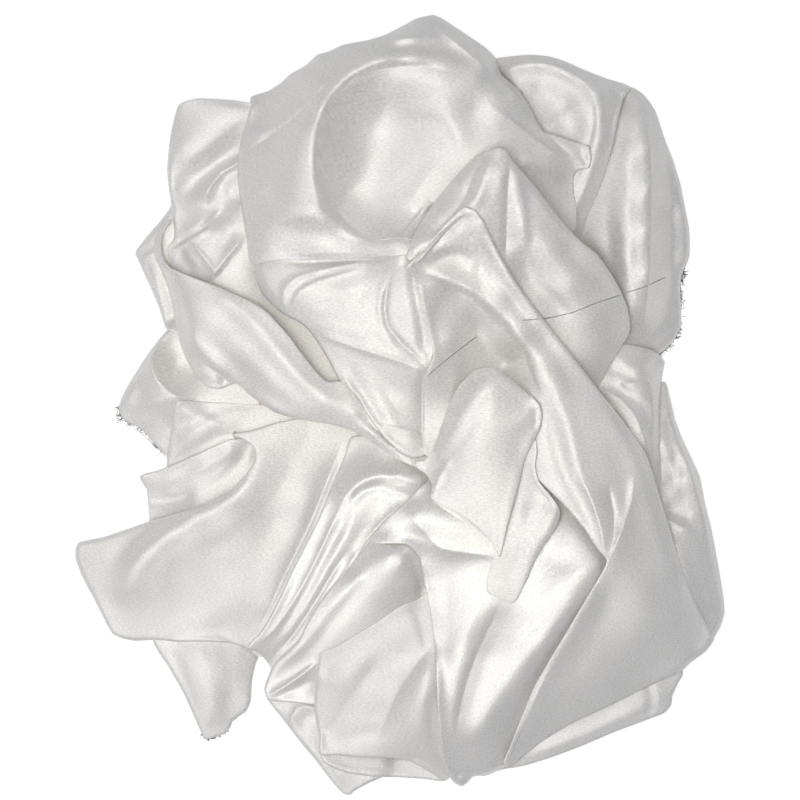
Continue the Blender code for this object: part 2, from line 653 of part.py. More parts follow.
stretch(
    "upper_left_flap", 6,
    edge=[  # x, y, z, rise
        (-133, 181, 18, 2), (-128, 183.3, 20, 2), (-120, 184.5, 21, 2), (-110, 184, 22, 2),
        (-98, 183, 23, 1), (-80, 178, 26, 0), (-72, 150, 30, 0), (-72, 110, 30, 0),
        (-76, 75, 28, 0), (-86, 52, 24, 0), (-105, 58, 22, 0), (-125, 66, 18, 0),
        (-137, 80, 14, 0), (-140, 95, 12, 0), (-136.5, 100, 10, 4), (-137, 110, 8, 7),
        (-138, 120, 8, 8), (-139.5, 130, 8, 7), (-140.5, 142, 8, 6), (-139.5, 155, 9, 5),
        (-138, 165, 11, 4), (-135.5, 175, 15, 3),
    ],
    crest=[
        (-120, 175, 22), (-105, 172, 24), (-130, 155, 18), (-115, 150, 17), (-128, 138, 13),
        (-112, 146, 14), (-100, 155, 17), (-125, 120, 17), (-115, 110, 24), (-105, 95, 26),
        (-125, 100, 22), (-118, 88, 24), (-95, 85, 27), (-100, 130, 22), (-92, 110, 25),
    ],
    pleats=[  # height, width, path
        (7, 6, [(-88, 146), (-98, 143), (-107, 138), (-113, 131), (-117, 120)]),
        (-5, 6, [(-88, 128), (-104, 122), (-106, 108)]),
    ],
)

stretch(
    "diagonal_band", 8,
    edge=[  # x, y, z, rise
        (-138, 112, 14, 1), (-142, 109.5, 13, 2), (-146, 104, 12, 4), (-148.5, 97, 12, 5),
        (-148, 90, 12, 6), (-144.5, 82, 12, 8), (-140.5, 73, 12, 9), (-137.5, 62, 12, 10),
        (-135.5, 50, 12, 11), (-133, 38, 12, 12), (-130, 30, 12, 12), (-126.5, 23, 12, 12),
        (-121, 14.5, 12, 12), (-115, 10.3, 13, 11), (-108, 9.3, 15, 10), (-103, 11.5, 18, 8),
        (-99, 13, 21, 7), (-91, 6.5, 24, 7), (-83, 0.5, 27, 6), (-75, -4.3, 29, 6),
        (-67, -7, 30, 5), (-58, -9, 31, 4), (-44, -11, 32, 3), (-30, -14.5, 33, 3),
        (-20, -20, 34, 3), (-10, -27, 34, 3), (-2, -32.5, 34, 3), (7, -36.5, 34, 2),
        (17, -39, 34, 2), (24, -34, 35, 0), (24, -20, 36, 0), (10, -14, 36, 0), (-5, -10, 36, 0),
        (-18, 5, 37, 0), (-28, 14, 38, 0), (-37, 14.5, 38, 1), (-44, 14.3, 39, 2),
        (-50, 20, 40, 2), (-58, 30, 41, 2), (-66, 41, 41, 2), (-74, 50, 40, 2),
        (-80.5, 56.5, 39, 2), (-89, 62, 37, 2), (-99, 66.5, 35, 2), (-109, 71, 32, 2),
        (-119, 74.7, 30, 2), (-129, 78.5, 27, 2), (-137, 82, 24, 1), (-141.5, 86, 21, 1),
        (-144, 92, 18, 0), (-144, 100, 17, 0), (-141, 107, 16, 0),
    ],
    crest=[
        (-130, 60, 27), (-125, 40, 28), (-118, 24, 26), (-112, 18, 25), (-105, 62, 37),
        (-90, 48, 41), (-78, 30, 43), (-62, 12, 43), (-45, 0, 42), (-28, -6, 41),
        (-12, -16, 40), (5, -28, 38), (-110, 45, 33), (-98, 30, 34), (-85, 14, 34),
        (-70, 2, 35),
    ],
    pleats=[  # height, width, path
        (-2.5, 5, [(-118, 60), (-98, 42), (-78, 22), (-60, 6)]),
        (2.5, 5, [(-122, 50), (-103, 33), (-84, 15), (-66, 0)]),
    ],
)


# ---- middle and top ----

stretch(
    "centre_swag", 6,
    edge=[  # x, y, z, rise
        (-60, 60, 42, 0), (-57.5, 48.5, 40, 2), (-54, 44, 40, 3), (-49, 37, 40, 4),
        (-43, 27, 40, 4), (-37, 16, 40, 4), (-31, 10, 40, 4), (-25, 4, 40, 4), (-20, -5, 40, 4),
        (-14, -14, 40, 4), (-6, -23, 40, 4), (1, -29.5, 40, 4), (8, -32, 40, 4), (14, -31, 40, 3),
        (19, -27, 40, 2), (25, -15, 40, 0), (30, 10, 42, 0), (30, 40, 46, 0), (22, 75, 54, 0),
        (18, 95, 62, 0), (0, 100, 64, 0), (-20, 98, 58, 0), (-50, 96, 50, 0), (-75, 85, 42, 0),
        (-75, 65, 40, 0),
    ],
    crest=[
        (0, 86, 70), (-10, 84, 64), (-35, 82, 46), (-50, 80, 44), (-20, 84, 52), (-65, 62, 46),
        (-50, 70, 52), (-30, 73, 55), (-12, 78, 60), (-40, 55, 50), (-20, 58, 54), (-55, 52, 44),
        (-35, 42, 48), (2, 62, 62), (-7, 58, 60), (5, 48, 58), (8, 35, 55), (-40, 40, 49),
        (-20, 34, 52), (0, 27, 55), (12, 22, 56), (-25, 20, 42), (-5, 10, 42), (8, 0, 42),
        (10, -18, 42), (-10, -5, 42), (5, -25, 43),
    ],
    step=12,
)

stretch(
    "crown", 9,
    edge=[  # x, y, z, rise
        (8, 90.5, 60, 2), (0, 89, 60, 2), (-8, 88.5, 58, 3), (-20, 88, 55, 4), (-40, 87, 50, 5),
        (-55, 85.5, 46, 5), (-60, 79, 44, 4), (-65, 71, 43, 3), (-67, 63, 42, 3), (-66, 57, 41, 2),
        (-70, 54, 38, 3), (-78, 58, 34, 7), (-84, 65.5, 31, 11), (-87.5, 74, 29, 14),
        (-90.5, 88, 27, 16), (-92, 98, 26, 17), (-94.5, 112, 25, 18), (-96.5, 125, 25, 18),
        (-97.5, 138, 25, 17), (-97.5, 146, 25, 16), (-96, 158, 25, 14), (-93, 170, 22, 14),
        (-90, 180, 14, 16), (-90, 186, 5, 16), (-80, 189.5, 4, 20), (-72, 194.5, 4, 24),
        (-66, 200, 3, 26), (-57, 205, 3, 28), (-50, 211.5, 3, 28), (-44, 213, 3, 30),
        (-34, 217.5, 3, 32), (-20, 220, 3, 34), (-10, 223, 3, 34), (0, 228, 3, 32),
        (10, 233.3, 3, 28), (20, 235.5, 3, 24), (26, 233, 3, 24), (32, 229, 3, 24),
        (44, 221, 3, 26), (52, 215.5, 3, 26), (58, 209, 5, 26), (61, 198, 34, 6),
        (70, 190, 40, 6), (76, 182, 42, 5), (81, 172, 43, 5), (86, 164, 43, 4), (92, 162, 43, 1),
        (103, 158.5, 40, 1), (113, 155, 37, 1), (115, 148, 35, 2), (113, 142, 36, 2),
        (107, 141.5, 38, 2), (100, 142.5, 40, 2), (94, 140, 42, 2), (84, 128, 44, 0),
        (70, 120, 46, 0), (50, 115, 48, 0), (30, 105, 50, 0), (15, 95, 54, 0),
    ],
    crest=[
        (-56, 125, 62), (-55, 145, 66), (-53, 160, 67), (-47, 175, 67), (-37, 189, 67),
        (-25, 198, 67), (-8, 204, 66), (10, 206, 65), (28, 202, 63), (45, 195, 60),
        (58, 186, 57), (-75, 150, 50), (-78, 125, 48), (-70, 170, 48), (-60, 185, 46),
        (-30, 210, 50), (0, 217, 48), (20, 220, 46), (35, 213, 48), (-20, 150, 36),
        (-5, 140, 34), (-25, 170, 42), (-5, 178, 42), (-30, 130, 42), (-10, 115, 42),
        (10, 165, 44), (20, 155, 50), (15, 135, 48), (28, 165, 55), (0, 120, 44),
        (-35, 110, 50), (-15, 100, 56), (5, 98, 60), (-45, 105, 58), (-65, 105, 52),
        (-75, 85, 44), (45, 175, 56), (60, 165, 56), (75, 155, 52), (90, 148, 47),
        (55, 150, 57),
    ],
    step=14,
)

stretch(
    "right_sweep", 7,
    edge=[  # x, y, z, rise
        (50, 151, 74, 4), (58, 153.5, 76, 5), (63, 152, 76, 5), (66, 147, 74, 6), (70, 142, 72, 7),
        (80, 132, 66, 9), (90, 118, 62, 10), (100, 106, 58, 10), (108, 98, 56, 10),
        (118, 90, 52, 10), (126, 79, 47, 10), (132, 69, 43, 9), (136.5, 58, 39, 9),
        (138, 49, 36, 8), (137.5, 43, 34, 8), (133, 35, 31, 7), (128, 27, 30, 7), (123, 18, 30, 6),
        (118, 10, 30, 4), (112, 0, 30, 0), (95, 10, 32, 0), (80, 30, 36, 0), (66, 50, 42, 0),
        (52, 75, 50, 0), (38, 92, 58, 0), (25, 90, 62, 0), (12, 86, 64, 0), (4, 87, 66, 1),
        (1.5, 92, 66, 2), (1, 100, 64, 3), (3, 107, 63, 4), (12, 116.5, 64, 4), (22, 127, 66, 4),
        (33, 137.5, 69, 4), (43, 146.5, 72, 4),
    ],
    crest=[
        (57, 140, 82), (50, 128, 80), (42, 118, 78), (30, 108, 76), (15, 97, 73), (8, 92, 71),
        (60, 120, 77), (63, 100, 70), (75, 115, 72), (90, 95, 65), (80, 80, 60), (105, 75, 58),
        (120, 60, 50), (100, 50, 50), (120, 30, 42), (128, 45, 40), (110, 20, 40), (70, 70, 56),
    ],
    pleats=[  # height, width, path
        (-3, 4, [(50, 142), (35, 121), (14, 98)]),
        (-2.5, 4, [(64, 142), (63, 125), (62.5, 100), (62, 88)]),
    ],
)

stretch(
    "middle_sweep", 7,
    edge=[  # x, y, z, rise
        (38, 117.5, 78, 3), (45, 115.5, 78, 4), (50, 109, 76, 5), (55, 98, 73, 6), (62, 85, 69, 7),
        (70, 72, 65, 8), (80, 58.5, 60, 8), (90, 46, 56, 8), (100, 33.5, 52, 8),
        (110, 20.5, 48, 8), (118, 10, 46, 8), (127, -1, 44, 8), (137, -14, 42, 8),
        (147, -28.5, 40, 8), (151, -39, 38, 8), (155, -52, 36, 8), (160, -68, 33, 8),
        (165, -84, 30, 8), (170, -99, 27, 8), (177, -117, 22, 7), (184, -131, 16, 6),
        (189.5, -141, 6, 8), (184, -149, 4, 10), (175, -156, 4, 12), (171, -160, 6, 10),
        (165, -163, 8, 8), (150, -169.5, 12, 4), (135, -177, 13, 3), (120, -184, 13, 3),
        (105, -191, 12, 3), (90, -200, 10, 3), (78, -208.5, 8, 3), (66, -217.5, 4, 3),
        (62, -216, 5, 3), (66, -206, 14, 2), (72, -190, 22, 2), (80, -170, 30, 3),
        (90, -152, 36, 3), (100, -135, 41, 3), (110, -118, 45, 3), (119, -103, 49, 2),
        (123.5, -93, 52, 1), (118, -86, 52, 2), (110, -74, 52, 3), (100, -62, 52, 3),
        (91, -53, 52, 3), (83, -45, 51, 3), (82, -33, 51, 3), (84.5, -20, 51, 3),
        (86.5, -10, 51, 3), (85.5, 0, 51, 2), (76, -6, 44, 0), (60, 5, 42, 0), (45, 8, 42, 0),
        (32, -5, 40, 0), (22, -22, 39, 0), (15, -28, 39, 1), (13.5, -10, 41, 2), (13.5, 10, 44, 2),
        (15, 20, 48, 2), (21, 30, 51, 2), (18, 42, 56, 2), (14, 56, 60, 2), (11, 70, 65, 2),
        (7, 78, 70, 2), (4, 82, 71, 2), (12, 92, 73, 2), (22, 104, 75, 3), (30, 113, 77, 3),
    ],
    crest=[
        (30, 98, 68), (38, 88, 64), (20, 90, 68), (12, 80, 71), (25, 75, 67), (40, 68, 63),
        (55, 56, 60), (68, 38, 57), (78, 18, 54), (55, 80, 66), (68, 60, 62), (85, 38, 58),
        (100, 15, 55), (112, -5, 54), (25, 60, 52), (32, 40, 46), (45, 45, 48), (50, 30, 44),
        (65, 25, 48), (25, 15, 42), (38, 22, 43), (100, -20, 54), (120, -25, 52),
        (135, -35, 46), (105, -45, 55), (118, -60, 55), (135, -60, 47), (128, -80, 53),
        (145, -75, 40), (140, -95, 44), (160, -100, 33), (125, -120, 42), (150, -125, 33),
        (170, -135, 24), (110, -145, 38), (135, -150, 30), (100, -175, 26), (125, -172, 22),
        (85, -195, 18),
    ],
    step=14,
)

stretch(
    "fold_strip", 3,
    edge=[  # x, y, z, rise
        (79, -16, 46, 0), (82, -27, 47, 1), (81, -37, 47, 2), (83.5, -46, 48, 3), (90, -54, 48, 3),
        (95, -61, 48, 3), (96, -66, 48, 3), (93, -74, 48, 3), (87, -83, 47, 3), (81, -93, 46, 3),
        (77, -103, 45, 3), (73, -110, 44, 2), (68.5, -118, 42, 2), (60, -116, 42, 1),
        (52.5, -112, 42, 1), (52, -104, 41, 0), (56, -92, 42, 0), (60, -75, 43, 0),
        (66, -50, 44, 0), (70, -35, 44, 0), (74, -22, 44, 0),
    ],
    crest=[(72, -60, 46), (84, -62, 51), (78, -85, 49)],
    step=14,
)

stretch(
    "lens_fold", 6,
    edge=[  # x, y, z, rise
        (17, -34, 42, 3), (22, -25, 44, 5), (26, -12, 46, 6), (32, 3, 49, 7), (38, 13.5, 51, 7),
        (45, 20.5, 53, 6), (52, 23, 54, 5), (58, 21.5, 54, 4), (67, 15, 54, 3), (76, 7.3, 53, 2),
        (83, 1, 52, 1), (85, -6, 51, 1), (84, -14, 51, 2), (80, -22, 50, 3), (75.5, -30.5, 50, 3),
        (73.5, -36.5, 50, 3), (71.5, -46, 50, 3), (68, -59, 49, 3), (64.5, -72, 48, 3),
        (61.5, -85, 46, 2), (59.5, -91, 44, 1), (57.5, -87, 44, 1), (52, -79, 44, 1),
        (45, -72, 44, 1), (35, -65, 44, 1), (25, -60, 43, 1), (18.5, -55.5, 43, 1),
        (21, -48, 43, 1), (25, -38, 43, 1),
    ],
    crest=[
        (35, -5, 56), (45, 8, 59), (55, 14, 59), (30, -20, 53), (45, -10, 58), (60, 0, 57),
        (55, -30, 54), (40, -45, 50), (65, -30, 54), (52, -60, 50), (75, -10, 54),
    ],
    step=12,
)
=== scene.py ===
# White silk satin scarf, dropped in a heap and seen from above: +X is right, +Y is up the
# heap, +Z is towards the viewer. Rows are in millimetres and meshes in metres.
import math

import bpy
import numpy as np
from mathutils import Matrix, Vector
from mathutils.geometry import delaunay_2d_cdt


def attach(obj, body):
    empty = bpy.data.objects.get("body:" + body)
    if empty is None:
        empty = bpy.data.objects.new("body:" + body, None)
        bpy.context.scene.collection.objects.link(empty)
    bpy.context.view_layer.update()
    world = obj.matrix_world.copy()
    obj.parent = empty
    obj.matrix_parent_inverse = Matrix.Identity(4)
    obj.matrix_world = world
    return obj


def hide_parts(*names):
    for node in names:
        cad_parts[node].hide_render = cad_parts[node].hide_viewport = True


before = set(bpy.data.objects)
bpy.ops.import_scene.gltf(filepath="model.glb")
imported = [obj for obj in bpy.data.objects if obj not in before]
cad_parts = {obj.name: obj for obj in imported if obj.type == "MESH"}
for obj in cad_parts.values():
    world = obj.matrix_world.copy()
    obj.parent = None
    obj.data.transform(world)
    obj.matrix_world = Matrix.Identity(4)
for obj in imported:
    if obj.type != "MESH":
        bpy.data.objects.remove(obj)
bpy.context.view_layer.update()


# ---- hidden layers ----
# The part of the square that nobody sees. It is the same satin, folded under the rest of the
# heap in three soft layers, each a little smaller than the one below, and lies loose. Its
# colour is a darker beige than the white satin: painted shade, for where it shows in the deep hollows.

MM = 0.001
CLOTH_THICK = 0.4  # thickness of a sheet, a little full for satin
TENSION = 0.6  # how strongly a curve keeps the direction of its neighbouring rows
FLANK_REACH = 120  # from here outwards the weave follows the heap's flanks down
FLANK_SHARE = 0.6  # share of a height that the weave is laid out by on a flank
CELL = 1.5  # cell of the map that lays the stretches on each other
MAP_HALF = (207, 249)  # half size of that map along X and Y

map_x = np.arange(-MAP_HALF[0], MAP_HALF[0], CELL) + CELL / 2
map_y = np.arange(-MAP_HALF[1], MAP_HALF[1], CELL) + CELL / 2
heap_top = np.zeros((len(map_x), len(map_y)))


def curve_through(rows, step, closed=True):
    """A smooth curve through the rows, resampled at about the given step."""
    rows = np.array(rows, float)
    count = len(rows)
    points = []
    for index in range(count if closed else count - 1):
        picks = [index + shift for shift in (-1, 0, 1, 2)]
        picks = [pick % count if closed else min(max(pick, 0), count - 1) for pick in picks]
        before, here, after, beyond = rows[picks]
        span = math.dist(here[:2], after[:2])
        pieces = max(1, round(span / step))
        leave = (after - before) * span / max(math.dist(after[:2], before[:2]), 1e-6)
        arrive = (beyond - here) * span / max(math.dist(beyond[:2], here[:2]), 1e-6)
        for piece in range(pieces):
            t = piece / pieces
            ease_in = t * t * (3 - 2 * t)
            points.append(
                here * (1 - ease_in)
                + after * ease_in
                + leave * TENSION * t * (1 - t) ** 2
                - arrive * TENSION * t * t * (1 - t)
            )
    if not closed:
        points.append(rows[-1])
    return np.array(points)


NOISE_RANGE = (0.3, 0.7)  # where most values of a noise lie
SHADE_DRIFT = (45, 60)  # slow drift of the shade, spots per metre along and across the warp
FLOATS = (620, 1500)  # the warp's floats in the colour, spots per metre
FLOAT_SHADES = (0.89, 1.09)  # darkest and palest of them
GLOSS_GRAIN = (700, 1500)  # the floats in the gloss, spots per metre
RELIEF = [  # spots per metre, detail, depth in metres
    ((22, 14), 1, 0.0014),  # the cloth's slack between its folds
    ((650, 2200), 3, 0.00034),  # the floats
]


def satin(name, shade, roughness):
    """Satin: long floats along the warp, seen as fine grain, and a broad silky gloss."""
    material = bpy.data.materials.new(name)
    material.use_nodes = True
    nodes, links = material.node_tree.nodes, material.node_tree.links
    shader = nodes["Principled BSDF"]
    shader.inputs["Metallic"].default_value = 0.32
    shader.inputs["Specular IOR Level"].default_value = 0.6
    shader.inputs["Anisotropic"].default_value = 0.6
    shader.inputs["Anisotropic Rotation"].default_value = 0.25
    shader.inputs["Sheen Weight"].default_value = 0.12
    shader.inputs["Sheen Roughness"].default_value = 0.4
    weave = nodes.new("ShaderNodeUVMap")
    weave.uv_map = "weave"

    tangent = nodes.new("ShaderNodeTangent")
    tangent.direction_type = "UV_MAP"
    tangent.uv_map = "weave"
    links.new(tangent.outputs["Tangent"], shader.inputs["Tangent"])

    def noise(scale, detail):
        """Noise with its own grain length along the warp and across it, per metre."""
        place = nodes.new("ShaderNodeMapping")
        place.inputs["Scale"].default_value = (*scale, 1)
        links.new(weave.outputs["UV"], place.inputs["Vector"])
        texture = nodes.new("ShaderNodeTexNoise")
        texture.noise_dimensions = "2D"
        texture.inputs["Scale"].default_value = 1
        texture.inputs["Detail"].default_value = detail
        links.new(place.outputs["Vector"], texture.inputs["Vector"])
        return texture.outputs["Fac"]

    def spread(source, low, high):
        """The noise stretched to a range of values or colours."""
        ramp = nodes.new("ShaderNodeValToRGB")
        for stop, place, value in zip(ramp.color_ramp.elements, NOISE_RANGE, (low, high)):
            stop.position = place
            stop.color = (*value, 1)
        links.new(source, ramp.inputs["Fac"])
        return ramp.outputs["Color"]

    pale = tuple(min(1, part * 1.03) for part in shade)
    floats = nodes.new("ShaderNodeMix")
    floats.data_type = "RGBA"
    floats.blend_type = "MULTIPLY"
    floats.inputs["Factor"].default_value = 1
    grey_range = [(value,) * 3 for value in FLOAT_SHADES]
    links.new(spread(noise(SHADE_DRIFT, 3), shade, pale), floats.inputs["A"])
    links.new(spread(noise(FLOATS, 3), *grey_range), floats.inputs["B"])
    links.new(floats.outputs["Result"], shader.inputs["Base Color"])
    rough = [(roughness + shift,) * 3 for shift in (-0.05, 0.05)]
    links.new(spread(noise(GLOSS_GRAIN, 2), *rough), shader.inputs["Roughness"])
    normal = None
    for scale, detail, depth in RELIEF:
        bump = nodes.new("ShaderNodeBump")
        bump.inputs["Strength"].default_value = 0.6
        bump.inputs["Distance"].default_value = depth
        links.new(noise(scale, detail), bump.inputs["Height"])
        if normal:
            links.new(normal, bump.inputs["Normal"])
        normal = bump.outputs["Normal"]
    links.new(normal, shader.inputs["Normal"])
    return material


def cloth_piece(name, top, faces, material, warp):
    """A thin closed shell under a top surface in millimetres, with its weave laid along warp."""
    mesh = bpy.data.meshes.new(name)
    mesh.from_pydata([Vector(point) * MM for point in top], [], faces)
    piece = bpy.data.objects.new(name, mesh)
    bpy.context.scene.collection.objects.link(piece)
    layer = mesh.uv_layers.new(name="weave")
    corner_points = np.array([loop.vertex_index for loop in mesh.loops])
    turn = math.radians(warp)
    outward = np.clip(top[:, :2] / FLANK_REACH, -1, 1)
    x, y = (top[:, :2] - FLANK_SHARE * outward * top[:, 2:]).T
    along = x * math.cos(turn) + y * math.sin(turn)
    across = y * math.cos(turn) - x * math.sin(turn)
    flat = np.column_stack([along, across])[corner_points] * MM
    layer.data.foreach_set("uv", flat.ravel())
    mesh.materials.append(material)
    bpy.ops.object.select_all(action="DESELECT")
    bpy.context.view_layer.objects.active = piece
    piece.select_set(True)
    shell = piece.modifiers.new("shell", "SOLIDIFY")
    shell.thickness = CLOTH_THICK * MM
    shell.offset = -1
    bpy.ops.object.modifier_apply(modifier=shell.name)
    bpy.ops.object.shade_smooth()
    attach(piece, "root")
    return piece


HIDDEN_RIM = [  # x, y
    (-20, -178), (40, -190), (95, -172), (145, -140), (160, -95), (140, -40), (132, 20), (140, 80),
    (135, 130), (112, 168), (70, 182), (20, 196), (-30, 188), (-70, 160), (-98, 115), (-112, 60),
    (-119, 15), (-121, -35), (-135, -90), (-105, -118), (-58, -138),
]
HIDDEN_MIDDLE = np.array([8.0, 0.0])
HIDDEN_LAYERS = [  # name, inset at the rim, foot, height at the rim's shoulder, height in the middle
    ("hidden_layers", 0.5, 0.8, 3.4, 6.0),
    ("hidden_layer_middle", 2.5, 4.4, 8.0, 13.0),
    ("hidden_layer_top", 4.5, 9.0, 13.0, 21.8),
]
RIM_SHARE = 0.06  # share of the way to the middle that a layer's rounded rim takes up
RIPPLE = 0.35  # height of the soft waves in a layer

# the hidden layers' satin is darkened to beige: painted shade of the deep hollows where they show
painted_shade_satin = satin("satin_hidden_painted_shade", (0.62, 0.56, 0.5), 0.5)
hidden_edge = curve_through([(x, y, 0) for x, y in HIDDEN_RIM], 5)[:, :2]
hidden_radius = np.linalg.norm(hidden_edge - HIDDEN_MIDDLE, axis=1)
hidden_bearing = np.arctan2(hidden_edge[:, 1] - HIDDEN_MIDDLE[1], hidden_edge[:, 0] - HIDDEN_MIDDLE[0])


def hidden_height(share, bearing, foot, shoulder, crown):
    """A rounded rim, then a slow rise with soft waves to the middle, where share is 1."""
    edge = np.sqrt(np.clip(1 - (1 - np.clip(share / RIM_SHARE, 0, 1)) ** 2, 0, 1))
    wave = np.sin(7 * bearing + foot) + 0.6 * np.sin(12 * bearing + 2 * foot)
    ripple = RIPPLE * wave * np.sin(math.pi * np.clip(share * 3, 0, 1))
    return foot + (shoulder - foot) * edge + (crown - shoulder) * np.sin(share * math.pi / 2) + ripple


def hidden_layer(inset, *heights):
    """Points and faces of one layer: rings from the rim to the middle."""
    to_middle = np.linspace(RIM_SHARE, 1 - RIM_SHARE, 26)
    shares = np.concatenate([np.linspace(0, RIM_SHARE, 7), to_middle[1:]])
    points = []
    for share in shares:
        depth = inset + share * (hidden_radius - inset)
        place = HIDDEN_MIDDLE + (hidden_edge - HIDDEN_MIDDLE) * (1 - depth / hidden_radius)[:, None]
        points.append(np.column_stack([place, hidden_height(share, hidden_bearing, *heights)]))
    around = len(hidden_edge)
    faces = []
    for ring in range(len(shares) - 1):
        for spot in range(around):
            ahead = (spot + 1) % around
            low, high = ring * around, (ring + 1) * around
            faces.append((low + spot, low + ahead, high + ahead, high + spot))
    last = (len(shares) - 1) * around
    points.append([(*HIDDEN_MIDDLE, heights[-1])])
    tip = last + around
    faces += [(last + spot, last + (spot + 1) % around, tip) for spot in range(around)]
    return np.vstack(points), faces


for layer_name, *layer_sizes in HIDDEN_LAYERS:
    layer = cloth_piece(f"{layer_name}_cloth", *hidden_layer(*layer_sizes), painted_shade_satin, warp=10)
    if layer_name == "hidden_layers":
        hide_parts("hidden_layers")

# The map of the heap starts with the top hidden layer.
cell_x, cell_y = np.meshgrid(map_x, map_y, indexing="ij")
cell_bearing = np.arctan2(cell_y - HIDDEN_MIDDLE[1], cell_x - HIDDEN_MIDDLE[0])
by_bearing = np.argsort(hidden_bearing)
cell_edge = np.interp(
    cell_bearing, hidden_bearing[by_bearing], hidden_radius[by_bearing], period=2 * math.pi
)
top_inset = HIDDEN_LAYERS[-1][1]
cell_radius = np.hypot(cell_x - HIDDEN_MIDDLE[0], cell_y - HIDDEN_MIDDLE[1])
cell_share = (cell_edge - cell_radius - top_inset) / (cell_edge - top_inset)
hidden_top = hidden_height(np.clip(cell_share, 0, 1), cell_bearing, *HIDDEN_LAYERS[-1][2:])
heap_top = np.where(cell_share > 0, hidden_top, heap_top)


# ---- left corner ----
# Cut corner of the square at the left. It stands in a soft arch round a hollow, and the satin's
# raw edge has let a few threads go.

# Form of a stretch, in millimetres
LOFT = 0.86  # share of the heights in the rows that the settled heap keeps
SMOOTHING = 0.003  # how far the bent plate may pass beside its heights
SOFT_SHARE = 0.65  # share of a soft fold's height that the settled cloth keeps
SOFT_POWER = 2  # how a soft fold falls off at its sides
SHARP_POWER = 1.15  # how a sharp one does
EDGE_CALM = 4  # how far in from an edge the folds are weaker
LEAST_HEIGHT = 0.9  # lowest that the upper face of a stretch lies
LEAST_REACH = 1.6  # least width in which an edge turns down
LOW_EDGE = 9  # an edge above this height lies on other cloth
INNER_RISE = 0.35  # share of the rise that is left at such an edge

# How it is laid on the heap
REST_GAP = 0.5  # free height between two stretches
TUCK_GAP = 0.6  # further height at an edge that is tucked under
TUCK_WIDTH = 2.5  # how far in from the edge that height is needed
LIFT_REACHES = (10, 10, 6, 6, 4, 3, 2, 2, 1, 1, 1)  # cells that a lift spreads over, in turn
SAG_REACH = 14  # how far in from an edge the cloth goes down with it
SAG_GAP = 0.6  # spare height that an edge keeps
TUCK_ROWS = [(0.2, 0.35), (0.7, 0.75), (1.6, 0.95), (3.0, 0.9)]  # how far in, how far down
LEAST_TUCK = 0.42  # lowest that a tucked rim lies

# Points of its mesh
GRAIN = 1.75  # spacing of the points
EDGE_STEP = 0.9 * GRAIN  # spacing along an edge
RIM_ROWS = (0.3, 0.9, 1.8, 3.0)  # extra rows of points just inside an edge
CREASE_STEP = 1.5  # spacing along a sharp fold
CREASE_ROWS = (0, -0.9, 0.9)  # rows of points along it, from its middle
CREASE_EDGE = 1.2  # distance that they keep from an edge
CREASE_APART = 0.7  # distance that they keep from each other
BATCH = 1000  # places that are measured at once, so that the tables stay small


def nearest_on(places, line):
    """For each place: distance to the line, the nearest spot in points, and its side."""
    start, run = line[:-1, :2], np.diff(line[:, :2], axis=0)
    length = np.maximum((run**2).sum(1), 1e-9)
    distance, spot, side = (np.zeros(len(places)) for _ in range(3))
    for first in range(0, len(places), BATCH):
        part = slice(first, first + BATCH)
        offset = places[part, None, :] - start[None]
        share = np.clip((offset * run[None]).sum(2) / length, 0, 1)
        away = ((offset - share[..., None] * run[None]) ** 2).sum(2)
        nearest = away.argmin(1)
        picked = np.arange(len(nearest))
        distance[part] = np.sqrt(away[picked, nearest])
        spot[part] = nearest + share[picked, nearest]
        leg, here = run[nearest], offset[picked, nearest]
        side[part] = np.sign(leg[:, 0] * here[:, 1] - leg[:, 1] * here[:, 0])
    return distance, spot, side


def inside(places, loop):
    """Which places lie inside the closed loop."""
    found = np.zeros(len(places), bool)
    y0, y1 = loop[:, 1], np.roll(loop[:, 1], -1)
    x0, x1 = loop[:, 0], np.roll(loop[:, 0], -1)
    slope = (x1 - x0) / np.where(y1 == y0, 1e-9, y1 - y0)
    for first in range(0, len(places), BATCH):
        part = slice(first, first + BATCH)
        x, y = places[part, 0, None], places[part, 1, None]
        crossed = ((y0 <= y) != (y1 <= y)) & (x < x0 + (y - y0) * slope)
        found[part] = crossed.sum(1) % 2 == 1
    return found


def bent_plate(knots, places):
    """Heights at the places of a thin plate bent through the knots (x, y, z)."""
    knots = np.array(knots, float)
    centre, scale = knots[:, :2].mean(0), 100.0

    def kernel(one, other):
        square = ((one[:, None] - other[None]) ** 2).sum(2)
        return 0.5 * square * np.log(square + 1e-12)

    spots = (knots[:, :2] - centre) / scale
    count = len(spots)
    flat = np.hstack([np.ones((count, 1)), spots])
    system = np.zeros((count + 3, count + 3))
    system[:count, :count] = kernel(spots, spots) + SMOOTHING * np.eye(count)
    system[:count, count:] = flat
    system[count:, :count] = flat.T
    weights = np.linalg.solve(system, np.concatenate([knots[:, 2], np.zeros(3)]))
    wanted = (places - centre) / scale
    return kernel(wanted, spots) @ weights[:count] + weights[count] + wanted @ weights[count + 1 :]


def fold_height(places, fold):
    """Height that one fold adds: its own width on each side, fading out at both ends."""
    height, left, right, sharp, path = fold
    line = curve_through(path, 4, closed=False)
    distance, spot, side = nearest_on(places, line)
    share = spot / (len(line) - 1)
    fade = np.clip(4 * np.minimum(share, 1 - share), 0, 1)
    fade = fade * fade * (3 - 2 * fade)
    width = np.where(side > 0, left, right)
    kept, power = (1, SHARP_POWER) if sharp else (SOFT_SHARE, SOFT_POWER)
    return kept * height * fade * np.exp(-((distance / width) ** power))


